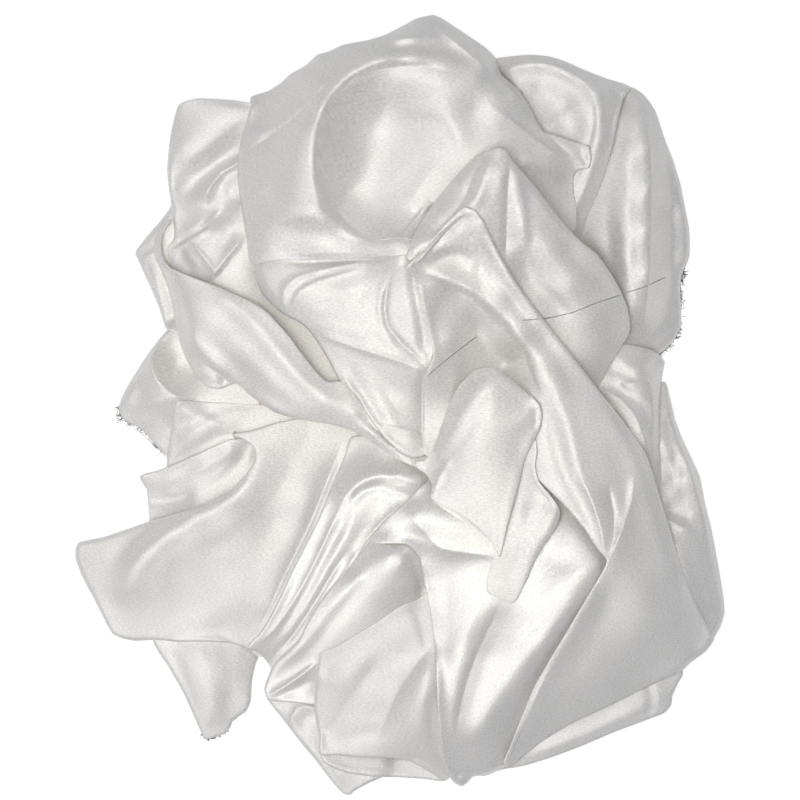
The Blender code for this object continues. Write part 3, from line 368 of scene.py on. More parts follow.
def surface(places, reach, edge, loop, crest, folds):
    """Height of a stretch at the places before it is laid, distance to its edge, and tuck."""
    knots = [(x, y, z + rise) for x, y, z, rise in edge] + list(crest)
    height = bent_plate(knots, places) * LOFT
    rim = np.vstack([loop, loop[:1]])
    distance, spot, _ = nearest_on(places, rim)
    before = np.minimum(spot.astype(int), len(loop) - 1)
    share = spot - before
    rise = (rim[before, 3] * (1 - share) + rim[before + 1, 3] * share) * LOFT
    reach = np.clip(0.5 * rise, LEAST_REACH, reach)
    calm = np.clip(distance / EDGE_CALM, 0.3, 1)
    for fold in folds:
        height = height + fold_height(places, fold) * calm
    down = np.clip(1 - distance / reach, 0, 1)
    height = height - rise * (1 - np.sqrt(np.maximum(1 - down**2, 0)))
    return np.maximum(height, LEAST_HEIGHT), distance, np.clip(rise, 0, 1)


def blurred(values, mask, reach):
    """Mean of each cell and its neighbours at the given reach, inside the mask."""
    total, weight = values * mask, mask.astype(float)
    for axis in (0, 1):
        pairs = []
        for grid in (total, weight):
            margins = [(reach, reach) if side == axis else (0, 0) for side in (0, 1)]
            padded = np.pad(grid, margins)
            size = grid.shape[axis]
            before, here, after = (
                np.take(padded, range(start, start + size), axis)
                for start in (0, reach, 2 * reach)
            )
            pairs.append(before + 2 * here + after)
        total, weight = pairs
    return np.where(weight > 0, total / np.maximum(weight, 1e-9), values)


def bridged(top):
    """The heap as the next stretch meets it: small steps are bridged by the cloth."""
    wide = top
    for _ in range(2):
        for axis in (0, 1):
            wide = np.maximum(wide, np.maximum(np.roll(wide, 1, axis), np.roll(wide, -1, axis)))
    everywhere = np.ones_like(top, bool)
    return blurred(blurred(wide, everywhere, 1), everywhere, 2)


def on_map(grid, places, low):
    """Bilinear value of a part of the map at the places."""
    spot = (places + np.array(MAP_HALF)) / CELL - 0.5 - low
    spot = np.clip(spot, 0, np.array(grid.shape) - 1.001)
    cell = spot.astype(int)
    part = spot - cell
    column, row = cell.T
    return (
        grid[column, row] * (1 - part[:, 0]) * (1 - part[:, 1])
        + grid[column + 1, row] * part[:, 0] * (1 - part[:, 1])
        + grid[column, row + 1] * (1 - part[:, 0]) * part[:, 1]
        + grid[column + 1, row + 1] * part[:, 0] * part[:, 1]
    )


def inward_of(loop):
    """Unit vectors that point from the loop's points into it."""
    along = np.roll(loop, -1, 0)[:, :2] - np.roll(loop, 1, 0)[:, :2]
    inward = np.column_stack([-along[:, 1], along[:, 0]])
    inward /= np.maximum(np.linalg.norm(inward, axis=1), 1e-9)[:, None]
    x, y = loop[:, 0], loop[:, 1]
    return inward * math.copysign(1, (x * np.roll(y, -1) - np.roll(x, -1) * y).sum())


def crease_points(loop, folds):
    """Three rows of points along every sharp fold, so that its crease stays crisp."""
    rim = np.vstack([loop, loop[:1]])
    chosen = [np.zeros((0, 2))]
    for *_, sharp, path in folds:
        if not sharp:
            continue
        line = curve_through(path, CREASE_STEP, closed=False)
        along = np.gradient(line, axis=0)
        along /= np.linalg.norm(along, axis=1)[:, None]
        across = np.column_stack([-along[:, 1], along[:, 0]])
        for offset in CREASE_ROWS:
            row = line + across * offset
            row = row[inside(row, loop)]
            row = row[nearest_on(row, rim)[0] > CREASE_EDGE]
            chosen.append(apart_from(row, np.vstack(chosen), CREASE_APART))
    return np.vstack(chosen)


def apart_from(points, others, least):
    """The points that keep at least the given distance from all the others."""
    keep = np.ones(len(points), bool)
    if len(others):
        for first in range(0, len(points), BATCH):
            part = slice(first, first + BATCH)
            away = ((points[part, None] - others[None]) ** 2).sum(2).min(1)
            keep[part] = away > least**2
    return points[keep]


def points_of(loop, folds, grain):
    """The loop's points, rows just inside it, rows along creases, and an even pattern between."""
    rim = np.vstack([loop, loop[:1]])
    inward = inward_of(loop)
    creases = crease_points(loop, folds)
    chosen = [loop[:, :2], creases]
    for depth in RIM_ROWS:
        row = loop[:, :2] + inward * depth
        clear = nearest_on(row, rim)[0] > 0.93 * depth
        chosen.append(apart_from(row[clear & inside(row, loop)], creases, CREASE_APART))
    low, high = loop[:, :2].min(0), loop[:, :2].max(0)
    columns = np.arange(low[0], high[0], grain)
    rows = np.arange(low[1], high[1], grain * math.sqrt(0.75))
    x, y = np.meshgrid(columns, rows)
    x = x + (np.arange(len(rows)) % 2)[:, None] * grain / 2
    pattern = np.column_stack([x.ravel(), y.ravel()])
    pattern = pattern[inside(pattern, loop)]
    pattern = pattern[nearest_on(pattern, rim)[0] > RIM_ROWS[-1] + 0.5 * grain]
    return np.vstack([*chosen, apart_from(pattern, creases, 0.75 * grain)])


def laid(places, loop, shape, sag):
    """Heights at the places after the stretch is laid on the heap, which it then tops.

    Its edge sinks towards what lies under it, by no more than the given sag.
    """
    low = np.floor((loop[:, :2].min(0) + MAP_HALF) / CELL).astype(int) - 3
    high = np.ceil((loop[:, :2].max(0) + MAP_HALF) / CELL).astype(int) + 3
    low, high = np.maximum(low, 0), np.minimum(high, heap_top.shape)
    patch = slice(low[0], high[0]), slice(low[1], high[1])
    x, y = np.meshgrid(map_x[patch[0]], map_y[patch[1]], indexing="ij")
    cells = np.column_stack([x.ravel(), y.ravel()])
    height, distance, tuck = (values.reshape(x.shape) for values in shape(cells))
    within = inside(cells, loop).reshape(x.shape)
    near = within | (distance < 0.8 * CELL)
    floor = bridged(heap_top)[patch]
    covered = floor > 0.2
    gap = REST_GAP + TUCK_GAP * tuck * np.exp(-((distance / TUCK_WIDTH) ** 2))
    need = np.where(near & covered, np.maximum(floor + gap - height, 0), 0)
    lift = need
    for reach in LIFT_REACHES:
        lift = np.maximum(need, blurred(lift, near, reach))
    lift = blurred(blurred(lift, near, 1), near, 1)

    around = np.vstack([loop, loop[:1]])
    spare = on_map(height + lift - floor - gap, loop[:, :2] + inward_of(loop) * 1.5, low)
    drop = np.where(loop[:, 3] > 0.05, np.clip(spare - SAG_GAP, 0, sag), 0)
    for _ in range(6):
        drop = (np.roll(drop, 1) + 2 * drop + np.roll(drop, -1)) / 4
    spot = nearest_on(cells, around)[1].reshape(x.shape)
    drop = np.interp(spot, np.arange(len(around)), np.append(drop, drop[0]))
    lift = np.maximum(need, lift - drop * np.exp(-((distance / SAG_REACH) ** 2)))
    lift = np.maximum(blurred(lift, near, 1), LEAST_HEIGHT - height)

    # The lift carries on a little way outside, for the points on the edge itself.
    known = near.copy()
    for _ in range(3):
        grown = blurred(lift, known, 1)
        lift = np.where(known, lift, grown)
        known = known | (blurred(known.astype(float), np.ones_like(known), 1) > 0)
    heap_top[patch] = np.where(within, np.maximum(heap_top[patch], height + lift), heap_top[patch])
    return shape(places)[0] + on_map(lift, places, low)


def tucked(top, rim_index, inward):
    """The surface with its rim rolled under, where the edge is a fold and not a cut."""
    rows = [rim_index]
    for depth, drop in TUCK_ROWS:
        added = top[rim_index].copy()
        added[:, :2] += inward * depth
        added[:, 2] = np.maximum(added[:, 2] - drop, LEAST_TUCK)
        rows.append(np.arange(len(rim_index)) + len(top))
        top = np.vstack([top, added])
    return top, rows


def doubled_area(corners):
    """Twice the signed area of a triangle."""
    (ax, ay), (bx, by), (cx, cy) = corners[:, :2]
    return (bx - ax) * (cy - ay) - (cx - ax) * (by - ay)


def lay(name, reach, edge, crest, folds=(), warp=0, cut_ends=(), sag=6):
    """Make one stretch of satin and lay it on the heap.

    edge rows: x, y, z of the edge, and how far the cloth rises within one reach of it.
    crest rows: x, y, z. fold rows: height, width to the left, width to the right, 1 for a sharp
    crease or 0 for a soft one, path.
    warp is the direction of the satin's warp in degrees. cut_ends rows: x, y, radius of a place
    where the edge is a raw cut and is not tucked. sag is how far an edge may sink.
    """
    edge = [(x, y, z, rise * (INNER_RISE if z > LOW_EDGE else 1)) for x, y, z, rise in edge]
    loop = curve_through(edge, EDGE_STEP)
    if (loop[:, 0] * np.roll(loop[:, 1], -1) - np.roll(loop[:, 0], -1) * loop[:, 1]).sum() < 0:
        loop = loop[::-1]

    def shape(places):
        return surface(places, reach, edge, loop, crest, folds)

    flat = points_of(loop, folds, GRAIN)
    ring = list(range(len(loop)))
    found = delaunay_2d_cdt([Vector(point) for point in flat], [], [ring], 1, 1e-5)
    spots, faces, origin = np.array([tuple(spot) for spot in found[0]]), found[2], found[3]
    faces = [
        tuple(face) if doubled_area(spots[list(face)]) > 0 else tuple(face[::-1]) for face in faces
    ]
    spot_of = {source: spot for spot, sources in enumerate(origin) for source in sources}
    top = np.column_stack([spots, laid(spots, loop, shape, sag)])

    folded = loop[:, 3] >= 0.5
    for x, y, radius in cut_ends:
        folded &= np.hypot(loop[:, 0] - x, loop[:, 1] - y) > radius
    folded &= np.roll(folded, 1) | np.roll(folded, -1)
    kept = np.flatnonzero(folded)
    if len(kept):
        rim = np.array([spot_of[index] for index in kept])
        top, rows = tucked(top, rim, inward_of(loop)[kept])
        number = {index: place for place, index in enumerate(kept)}
        for index in kept:
            ahead = (index + 1) % len(loop)
            if ahead in number:
                here, there = number[index], number[ahead]
                for outer, inner in zip(rows, rows[1:]):
                    faces.append((outer[there], outer[here], inner[here], inner[there]))
    faces = [tuple(int(corner) for corner in face) for face in faces]
    piece = cloth_piece(f"{name}_cloth", top, faces, white_satin, warp)
    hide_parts(name)
    return piece


white_satin = satin("satin_white", (0.86, 0.838, 0.80), 0.45)

lay("left_corner", reach=9, edge=[  # x, y, z, rise
    (-136, 47, 8, 0), (-141, 45, 4, 6), (-150, 34, 3, 9), (-160, 19, 3, 8), (-166, 9, 3, 6),
    (-170, -1, 2, 4), (-168, -8, 2, 2), (-161, -12, 2, 1), (-156, -15, 2, 1), (-149, -23, 2, 2),
    (-142, -30, 2, 2), (-134, -34, 2, 0), (-114, -22, 5, 0), (-90, -6, 10, 0), (-84, 4, 12, 0),
    (-96, 20, 14, 0), (-118, 42, 14, 0),
], crest=[  # x, y, z
    (-148, 30, 19), (-147, 18, 21), (-140, 9, 21), (-128, 5, 19), (-136, 24, 9), (-124, 20, 9),
    (-157, 8, 13), (-150, 3, 17), (-149, -8, 12), (-142, -16, 9), (-108, 8, 16),
], folds=[  # height, left, right, sharp, path
    (3.5, 2.5, 5, 1, [(-138, 45), (-146, 37), (-149.5, 28), (-147.5, 18), (-141, 9.5), (-133, 5),
        (-122, 3)]),
    (-3, 6, 6, 0, [(-140, 42), (-141, 28), (-136, 16), (-126, 10)]),
    (1.5, 3, 4, 0, [(-166, 1), (-152, 1), (-140, 4), (-128, 5)]),
    (-1.5, 4, 4, 0, [(-158, -8), (-150, -5), (-142, -8), (-138, -18)]),
    (1.2, 3, 3, 0, [(-158, 12), (-163, 4), (-165, -5)]),
], cut_ends=[(-169, -5, 8), (-156, -16, 12), (-145, -28, 8)])


# ---- left panel ----
# A plain width of the satin between the left corner and the small roll. It lies nearly
# flat, slack, with one soft diagonal fold, and the roll's cloth goes under the big flap.

lay("left_panel", reach=8, edge=[  # x, y, z, rise
    (-134, 2, 17, 2), (-120, 2, 16, 1), (-100, 1, 15, 0.3), (-82, 0, 14, 0), (-62, 0, 14, 0),
    (-58, -22, 14, 0), (-78, -42, 12, 0), (-100, -50, 9, 0), (-128, -52, 6, 0), (-140, -45, 4, 0),
    (-141, -37, 4, 3), (-140, -25, 6, 5), (-137, -10, 12, 4),
], crest=[  # x, y, z
    (-126, -8, 19), (-115, -20, 17), (-128, -28, 13), (-100, -12, 17),
], folds=[  # height, left, right, sharp, path
    (1.8, 4, 5, 0, [(-141, -32), (-127, -20), (-112, -10), (-96, -4), (-80, -2)]),
    (-1.6, 4, 4, 0, [(-140, -38), (-124, -28), (-106, -19), (-88, -13)]),
    (-1.3, 4, 4, 0, [(-136, -14), (-124, -8), (-110, -1)]),
    (1.3, 3, 3, 0, [(-134, -2), (-120, -7), (-106, -14), (-92, -17)]),
])


# ---- left roll ----
# A small open roll: the cloth turns over itself once and opens to the left. Satin on its
# right side, held only by the flap that lies on its foot.

lay("left_roll", reach=5, edge=[  # x, y, z, rise
    (-157, -43, 6, 3), (-146, -39.5, 10, 4), (-130, -33, 17, 4), (-115, -26, 22, 3),
    (-103, -21, 25, 2), (-94, -20.5, 25, 1), (-84, -22, 24, 0), (-76, -30, 21, 0),
    (-78, -44, 16, 0), (-98, -58, 12, 0), (-115, -67, 9, 0), (-135, -74, 6, 0), (-146, -76, 5, 0),
    (-151, -71, 3, 0), (-152, -60, 3, 0), (-153, -51, 4, 1),
], crest=[  # x, y, z
    (-148, -60, 5), (-130, -54, 6), (-112, -47, 8), (-98, -38, 12), (-140, -43, 13),
    (-120, -35, 20), (-103, -28, 24),
], folds=[  # height, left, right, sharp, path
    (2.5, 5, 5, 0, [(-156, -50), (-138, -46), (-118, -37), (-100, -27), (-90, -25)]),
    (-3, 4, 4, 0, [(-154, -62), (-134, -57), (-112, -48), (-94, -37), (-88, -28)]),
    (1.2, 3, 3, 0, [(-152, -56), (-130, -51), (-110, -42), (-96, -32)]),
    (1.8, 3, 4, 0, [(-152, -70), (-130, -65), (-108, -57), (-92, -46)]),
    (-1.2, 3, 3, 0, [(-150, -45), (-132, -39), (-116, -31)]),
])


# ---- tail corner ----
# The narrow end of another corner of the square, cut and not hemmed, frayed at its tip.
# It comes out from under the lower left flap and lies on the table.

lay("tail_corner", reach=8, edge=[  # x, y, z, rise
    (-146, -130, 3, 0), (-118, -124, 3, 0), (-88, -130, 3, 0), (-84, -148, 3, 0), (-87, -156, 2, 3),
    (-89.5, -168, 2, 4), (-90, -178, 2, 4), (-92.5, -184.5, 2, 3), (-101, -191, 2, 2),
    (-104, -197, 2, 1), (-112, -201, 2, 1), (-118, -202, 2, 1), (-120, -198, 2, 2),
    (-125, -187, 2, 4), (-131, -174, 2, 5), (-140, -158, 2, 5), (-149, -143.5, 2, 4),
], crest=[  # x, y, z
    (-126, -152, 10), (-120, -170, 10), (-115, -188, 7), (-106, -160, 12), (-100, -172, 9),
], folds=[  # height, left, right, sharp, path
    (1.8, 7, 9, 0, [(-126, -138), (-121, -156), (-116, -176), (-112, -196)]),
    (-1.5, 4, 5, 0, [(-140, -142), (-134, -158), (-128, -176), (-120, -194)]),
    (-1.2, 6, 6, 0, [(-106, -138), (-104, -158), (-102, -176), (-104, -190)]),
], cut_ends=[(-110, -199, 12)])


# ---- lower left flap ----
# The large smooth flap at the lower left. It arches from the roll to its outer corner, and
# where the pleats begin its right side dips in one crisp groove.

lay("lower_left_flap", reach=10, edge=[  # x, y, z, rise
    (-194, -83, 4, 4), (-180, -80, 7, 5), (-165, -75, 11, 6), (-151, -70, 15, 7),
    (-135, -65.5, 21, 6), (-118, -60, 26, 5), (-103, -52, 29, 4), (-93, -42, 31, 3),
    (-87, -33, 31, 3), (-88, -25, 30, 2), (-95, -20, 29, 2), (-101, -18, 28, 2), (-88, -15, 28, 2),
    (-75, -11, 28, 1), (-60, -6, 27, 0), (-72, 20, 22, 0), (-66, 52, 20, 0), (-35, 40, 22, 0),
    (-18, 0, 22, 0), (-16, -25, 20, 0), (-28, -50, 15, 0), (-40, -78, 11, 0), (-52, -105, 8, 0),
    (-64, -130, 6, 0), (-76, -150, 5, 0), (-86, -152, 4, 0), (-92, -147, 4, 2),
    (-104, -143.5, 4, 4), (-120, -143, 4, 5), (-135, -143, 4, 4), (-149, -142, 4, 4),
    (-160, -142.5, 2, 4), (-168, -141, 2, 4), (-174, -138, 2, 4), (-180, -127, 2, 5),
    (-185, -117, 2, 6), (-192, -104, 2, 6), (-196, -93, 2, 5), (-196, -87, 3, 4),
], crest=[  # x, y, z
    (-90, -48, 33), (-104, -58, 33), (-125, -69, 31), (-142, -79, 28), (-156, -93, 24),
    (-163, -108, 19), (-158, -120, 14), (-178, -97, 14), (-172, -120, 9), (-135, -95, 22),
    (-112, -85, 25), (-130, -120, 14), (-105, -110, 18), (-95, -130, 11), (-80, -100, 17),
    (-75, -70, 23), (-65, -40, 28), (-52, -58, 26), (-56, -80, 20),
], folds=[  # height, left, right, sharp, path
    (3, 8, 6, 0, [(-82, -24), (-92, -46), (-105, -57), (-126, -67), (-142, -78), (-153, -89),
        (-161, -101), (-165, -117), (-164, -134)]),
    (-0.8, 5, 6, 0, [(-90, -52), (-106, -66), (-126, -76), (-142, -88), (-152, -102),
        (-156, -118)]),
    (-1.8, 6, 5, 0, [(-98, -44), (-124, -60), (-148, -74), (-168, -88), (-182, -106)]),
    (1, 8, 8, 0, [(-150, -138), (-126, -134), (-104, -122), (-88, -104)]),
    (0.8, 7, 9, 0, [(-158, -100), (-134, -94), (-108, -92), (-84, -92)]),
    (-3.5, 2, 5, 1, [(-33, -19), (-38, -32), (-45, -49), (-53, -69), (-61, -86), (-70, -104),
        (-77, -119), (-86, -138)]),
], warp=8)


# ---- bottom left corner ----
# A pointed turn of the cloth under the pleats and the bottom pocket, with one short curl.
# It lies flat on the table.

lay("bottom_left_corner", reach=8, edge=[  # x, y, z, rise
    (-77, -160, 3, 0), (-80.5, -166, 2, 2), (-82, -172, 2, 2), (-80, -178, 2, 2), (-70, -191, 2, 3),
    (-60, -204, 2, 4), (-50, -216, 2, 4), (-40, -229, 2, 3), (-34, -235, 2, 1), (-30, -235.5, 2, 1),
    (-28, -233.5, 2, 1), (-18, -228, 2, 3), (-9, -223.5, 2, 3), (-8, -212, 3, 0), (-25, -195, 4, 0),
    (-30, -175, 4, 0), (-45, -160, 5, 0), (-62, -152, 4, 0),
], crest=[  # x, y, z
    (-62, -184, 8), (-52, -198, 8), (-40, -214, 7),
], folds=[  # height, left, right, sharp, path
    (1.6, 1.4, 3, 1, [(-66, -196), (-65, -188), (-62, -183), (-55, -182), (-48, -184)]),
    (-1.2, 3, 3, 0, [(-58, -198), (-57, -190), (-52, -186)]),
    (1.5, 3, 3, 0, [(-72, -182), (-62, -198), (-50, -212), (-38, -228)]),
    (-1.4, 4, 4, 0, [(-52, -192), (-44, -206), (-34, -222)]),
])


# ---- pocket lip ----
# The inner side of the open fold at the bottom: the same satin, seen through the mouth of
# the pocket that lies on it.

lay("pocket_lip", reach=5, edge=[  # x, y, z, rise
    (-48, -211, 5, 1), (-46, -215.5, 2, 2), (-39, -219.5, 2, 2), (-30, -222.5, 2, 2),
    (-15, -224.5, 2, 2), (0, -225, 2, 2), (15, -226, 2, 2), (27, -227, 2, 1), (32, -218, 3, 0),
    (25, -205, 3, 0), (0, -198, 4, 0), (-25, -196, 5, 0), (-44, -200, 5, 0),
], crest=[  # x, y, z
    (-30, -214, 3.0), (0, -217, 2.4), (-10, -220, 3.6), (15, -222, 3),
], folds=[  # height, left, right, sharp, path
    (1.4, 2, 3, 0, [(-45, -214), (-32, -220.5), (-12, -222.5), (10, -223.5)]),
])


# ---- bottom strip ----
# A long narrow fold along the lower right edge, lit along its whole length. It lies on the
# table, and the long sweep lies on it.

lay("bottom_strip", reach=4, edge=[  # x, y, z, rise
    (42, -223, 2, 1), (52, -223, 2, 2), (61, -220.5, 2, 2), (75, -218, 2, 2), (90, -213.5, 2, 3),
    (110, -206, 2, 3), (130, -197.5, 2, 3), (150, -190, 2, 3), (160, -186, 2, 3), (164, -181, 2, 3),
    (164.5, -176, 3, 3), (168, -168, 4, 3), (171, -162, 5, 3), (165, -150, 10, 0),
    (145, -158, 12, 0), (120, -172, 12, 0), (95, -185, 11, 0), (75, -198, 8, 0), (55, -212, 4, 0),
], crest=[  # x, y, z
    (70, -214, 5), (100, -200, 8), (130, -187, 9), (155, -175, 10),
], folds=[  # height, left, right, sharp, path
    (2.2, 5, 3, 0, [(62, -216), (88, -208), (116, -197), (142, -185), (162, -176)]),
    (-1.6, 3, 3, 0, [(148, -166), (152, -176), (150, -188)]),
], warp=20)


# ---- white panel ----
# The tall panel at the right, with the frayed cut edge of the square at its lower side. One
# ridge runs down it, and its outer side falls steeply to the table.

lay("white_panel", reach=10, edge=[  # x, y, z, rise
    (118, 194, 14, 0), (132, 192, 8, 4), (140, 192, 4, 14), (146, 188.5, 4, 16),
    (150.5, 183.5, 3, 16), (154.5, 177, 3, 14), (157.5, 168, 3, 12), (160.5, 159, 3, 10),
    (165, 148, 3, 8), (169.5, 133, 3, 7), (172.5, 118, 3, 7), (174.8, 105, 3, 7), (175, 91, 3, 7),
    (173.5, 85.5, 3, 6), (170.5, 80, 3, 5), (169.5, 70, 2, 4), (170, 60, 2, 4), (169.5, 48, 2, 4),
    (167, 41, 2, 4), (161, 34, 2, 4), (156, 30.5, 3, 4), (148, 30.5, 8, 4), (142, 31, 14, 4),
    (136.5, 34, 20, 3), (126, 28, 24, 0), (112, 40, 24, 0), (104, 65, 24, 0), (98, 95, 24, 0),
    (108, 125, 24, 0), (114, 160, 20, 0),
], crest=[  # x, y, z
    (147, 172, 32), (149, 155, 37), (149, 130, 39), (149, 105, 39), (149, 80, 37), (148, 60, 32),
    (149, 45, 22), (136, 160, 34), (134, 130, 35), (130, 100, 34), (138, 75, 35), (140, 50, 28),
    (158, 140, 21), (160, 115, 17), (161, 90, 16), (160, 65, 15), (158, 50, 13), (169, 110, 13),
    (169, 90, 12),
], folds=[  # height, left, right, sharp, path
    (3, 3, 10, 1, [(142, 184), (148, 168), (150.5, 148), (151, 120), (150.5, 95), (149, 72),
        (147, 52), (148, 40)]),
    (-2.5, 4, 4, 0, [(154, 166), (160, 146), (163.5, 120), (164, 96), (162, 72), (160, 54)]),
    (1.8, 5, 6, 0, [(138, 178), (136, 150), (134, 120), (135, 92), (139, 64), (140, 42)]),
    (-1.4, 5, 5, 0, [(143, 170), (143, 140), (142, 110), (143, 82), (144, 58)]),
    (1.5, 1.4, 4, 1, [(133, 186), (139, 188), (145, 184), (149, 177)]),
    (-1.2, 5, 5, 0, [(128, 128), (126, 108), (128, 88), (134, 68)]),
    (1.4, 3, 3, 0, [(138, 37), (148, 37), (156, 41), (162, 50)]),
], cut_ends=[(171, 66, 16), (166, 42, 12), (158, 33, 8)])


# ---- back band ----
# The arched fold that stands round the hollow at the upper right. The hollow is the same
# cloth, let down behind the fold.

lay("back_band", reach=8, edge=[  # x, y, z, rise
    (48, 204, 14, 0), (57, 209, 6, 16), (66, 210.5, 5, 20), (78, 211.5, 5, 22), (90, 210.5, 5, 24),
    (100, 207.3, 5, 24), (112, 202, 5, 22), (125, 197, 5, 20), (134, 194.3, 5, 16),
    (139, 191, 8, 12), (134.5, 184, 20, 8), (131, 171, 24, 8), (128, 157, 26, 8),
    (124.5, 145, 26, 8), (121, 133, 26, 8), (116, 121, 26, 8), (112, 111, 26, 8),
    (108.5, 98, 26, 6), (100, 85, 28, 0), (85, 90, 34, 0), (60, 110, 38, 0), (35, 130, 40, 0),
    (20, 160, 36, 0), (25, 190, 30, 0),
], crest=[  # x, y, z
    (66, 204, 31), (80, 206, 33), (95, 203, 35), (108, 196, 37), (118, 188, 39), (122, 176, 41),
    (122, 160, 41), (118, 145, 40), (112, 130, 39), (104, 117, 38), (85, 190, 31), (100, 180, 32),
    (90, 165, 34), (106, 165, 34), (100, 145, 35), (98, 128, 36), (125, 190, 28), (130, 188, 26),
], folds=[  # height, left, right, sharp, path
    (1.5, 5, 3, 0, [(60, 199), (68, 205), (82, 207), (98, 203), (111, 196), (119, 187),
        (122, 176)]),
    (-2, 1.4, 7, 1, [(60, 196), (70, 202), (84, 203.5), (98, 199), (109, 191), (115, 181),
        (116, 168), (112, 152), (106, 136), (99, 120)]),
    (1.8, 4, 2.5, 0, [(124, 178), (124, 162), (120, 146), (113, 130), (105, 115), (98, 104)]),
    (-1.4, 2.5, 2.5, 0, [(117, 164), (114, 148), (108, 132), (101, 118)]),
    (-2.5, 4, 4, 0, [(132, 186), (128, 172), (126, 158), (121, 142), (114, 126), (107, 110)]),
    (1.2, 4, 4, 0, [(84, 164), (94, 170), (104, 178), (113, 186)]),
    (1.5, 1.5, 4, 1, [(116, 186), (124, 189), (132, 190), (138, 189)]),
])


# ---- right side low ----
# The steep outer stretch at the lower right. It falls to the table, and a short pouch of
# slack cloth hangs in it at half its height.

lay("right_side_low", reach=6, edge=[  # x, y, z, rise
    (160, 14, 3, 3), (163, 5, 3, 6), (166, -8, 3, 8), (170, -19, 3, 9), (176, -32, 3, 10),
    (181, -43, 3, 11), (184, -58, 3, 12), (188, -74, 3, 11), (191, -90, 3, 10), (193.5, -104, 3, 9),
    (195.5, -117, 3, 9), (196, -126, 3, 9), (193.5, -134, 3, 9), (189.5, -141, 3, 11),
    (184, -149, 3, 8), (178, -153, 4, 4), (160, -155, 10, 0), (145, -135, 16, 0),
    (140, -100, 18, 0), (138, -60, 18, 0), (140, -20, 16, 0), (150, 10, 8, 0),
], crest=[  # x, y, z
    (162, -5, 15), (165, -25, 21), (170, -45, 23), (168, -60, 17), (168, -85, 27), (173, -105, 27),
    (178, -122, 23), (160, -40, 17),
], folds=[  # height, left, right, sharp, path
    (2.2, 2, 4, 1, [(162, 8), (166, -12), (172, -32), (177, -48), (181, -64)]),
    (1.8, 4, 8, 0, [(164, -78), (168, -92), (174, -110), (182, -130)]),
    (-1.8, 3, 3, 0, [(160, 2), (163, -20), (168, -42), (172, -62)]),
    (2, 1.4, 4, 1, [(154, -64), (162, -69), (170, -73.5), (178, -75)]),
    (-2, 4, 2, 0, [(158, -60), (166, -66), (176, -69)]),
    (1, 3, 3, 0, [(178, -84), (184, -104), (190, -124)]),
])


# ---- right side panel ----
# The short steep stretch above it, folded over at its upper end where the white panel
# stops, and gone under the long sweep at its left.

lay("right_side_panel", reach=7, edge=[  # x, y, z, rise
    (125, 36, 24, 0), (140, 36, 14, 0), (152, 33, 6, 0), (157, 30, 3, 3), (160, 26, 3, 5),
    (159, 21, 3, 6), (158, 14, 4, 8), (157.5, 5, 6, 10), (157, -10, 8, 12), (157, -25, 9, 12),
    (157.5, -40, 10, 11), (158, -55, 11, 9), (160, -68, 12, 6), (160, -80, 14, 0),
    (148, -80, 20, 0), (135, -50, 26, 0), (118, -15, 30, 0), (108, 10, 30, 0), (112, 30, 28, 0),
], crest=[  # x, y, z
    (146, 22, 24), (150, 10, 27), (148, -5, 30), (149, -20, 30), (150, -35, 29), (138, -2, 30),
    (130, 8, 29), (128, 22, 26), (152, -50, 26),
], folds=[  # height, left, right, sharp, path
    (2.2, 1.6, 6, 1, [(112, 11), (124, 8), (134, 2), (142, -8), (147, -20), (150, -36)]),
    (-2, 3, 3, 0, [(124, 13), (138, 6), (147, -2), (152, -16)]),
    (1.5, 1.4, 3, 1, [(132, 12), (142, 13.5), (150, 14), (159, 14)]),
    (2, 2, 4, 0, [(152, 20), (153, 4), (152.5, -14), (153, -34), (154, -52)]),
    (1.6, 4, 4, 0, [(128, 30), (138, 24), (148, 20), (158, 24)]),
    (-1.2, 3, 3, 0, [(120, 24), (132, 20), (142, 16)]),
])


# ---- left peak ----
# A folded point of the cloth that looks out at the left, between the flap and the garland.
# It has one crease from its tip.

lay("left_peak", reach=8, edge=[  # x, y, z, rise
    (-136, 124, 8, 0), (-139, 119, 4, 6), (-145, 111, 3, 8), (-152, 103, 2, 6), (-159, 94, 2, 3),
    (-160, 91, 2, 2), (-158.5, 88, 2, 2), (-155, 80, 2, 4), (-150, 69, 2, 5), (-145, 57, 2, 4),
    (-141, 46, 2, 2), (-130, 42, 3, 0), (-120, 60, 6, 0), (-118, 90, 10, 0), (-124, 118, 12, 0),
], crest=[  # x, y, z
    (-150, 94, 9), (-146, 80, 9), (-142, 65, 8), (-144, 100, 12),
], folds=[  # height, left, right, sharp, path
    (1.8, 1.5, 4, 1, [(-163, 91), (-157, 89), (-151, 90.5), (-145, 94)]),
    (-1.3, 3, 3, 0, [(-156, 88), (-151, 76), (-147, 64), (-142, 52)]),
    (1.4, 2.5, 2.5, 0, [(-150, 90), (-147, 76), (-144, 62), (-140, 50)]),
    (1.4, 3, 4, 0, [(-154, 98), (-148, 106), (-142, 113)]),
])


# ---- pleat fan ----
# A fan of narrow pleats, gathered at the lower left and opened towards the middle, where
# they end in one round loop. The pleats are pressed by nothing but the heap's weight.

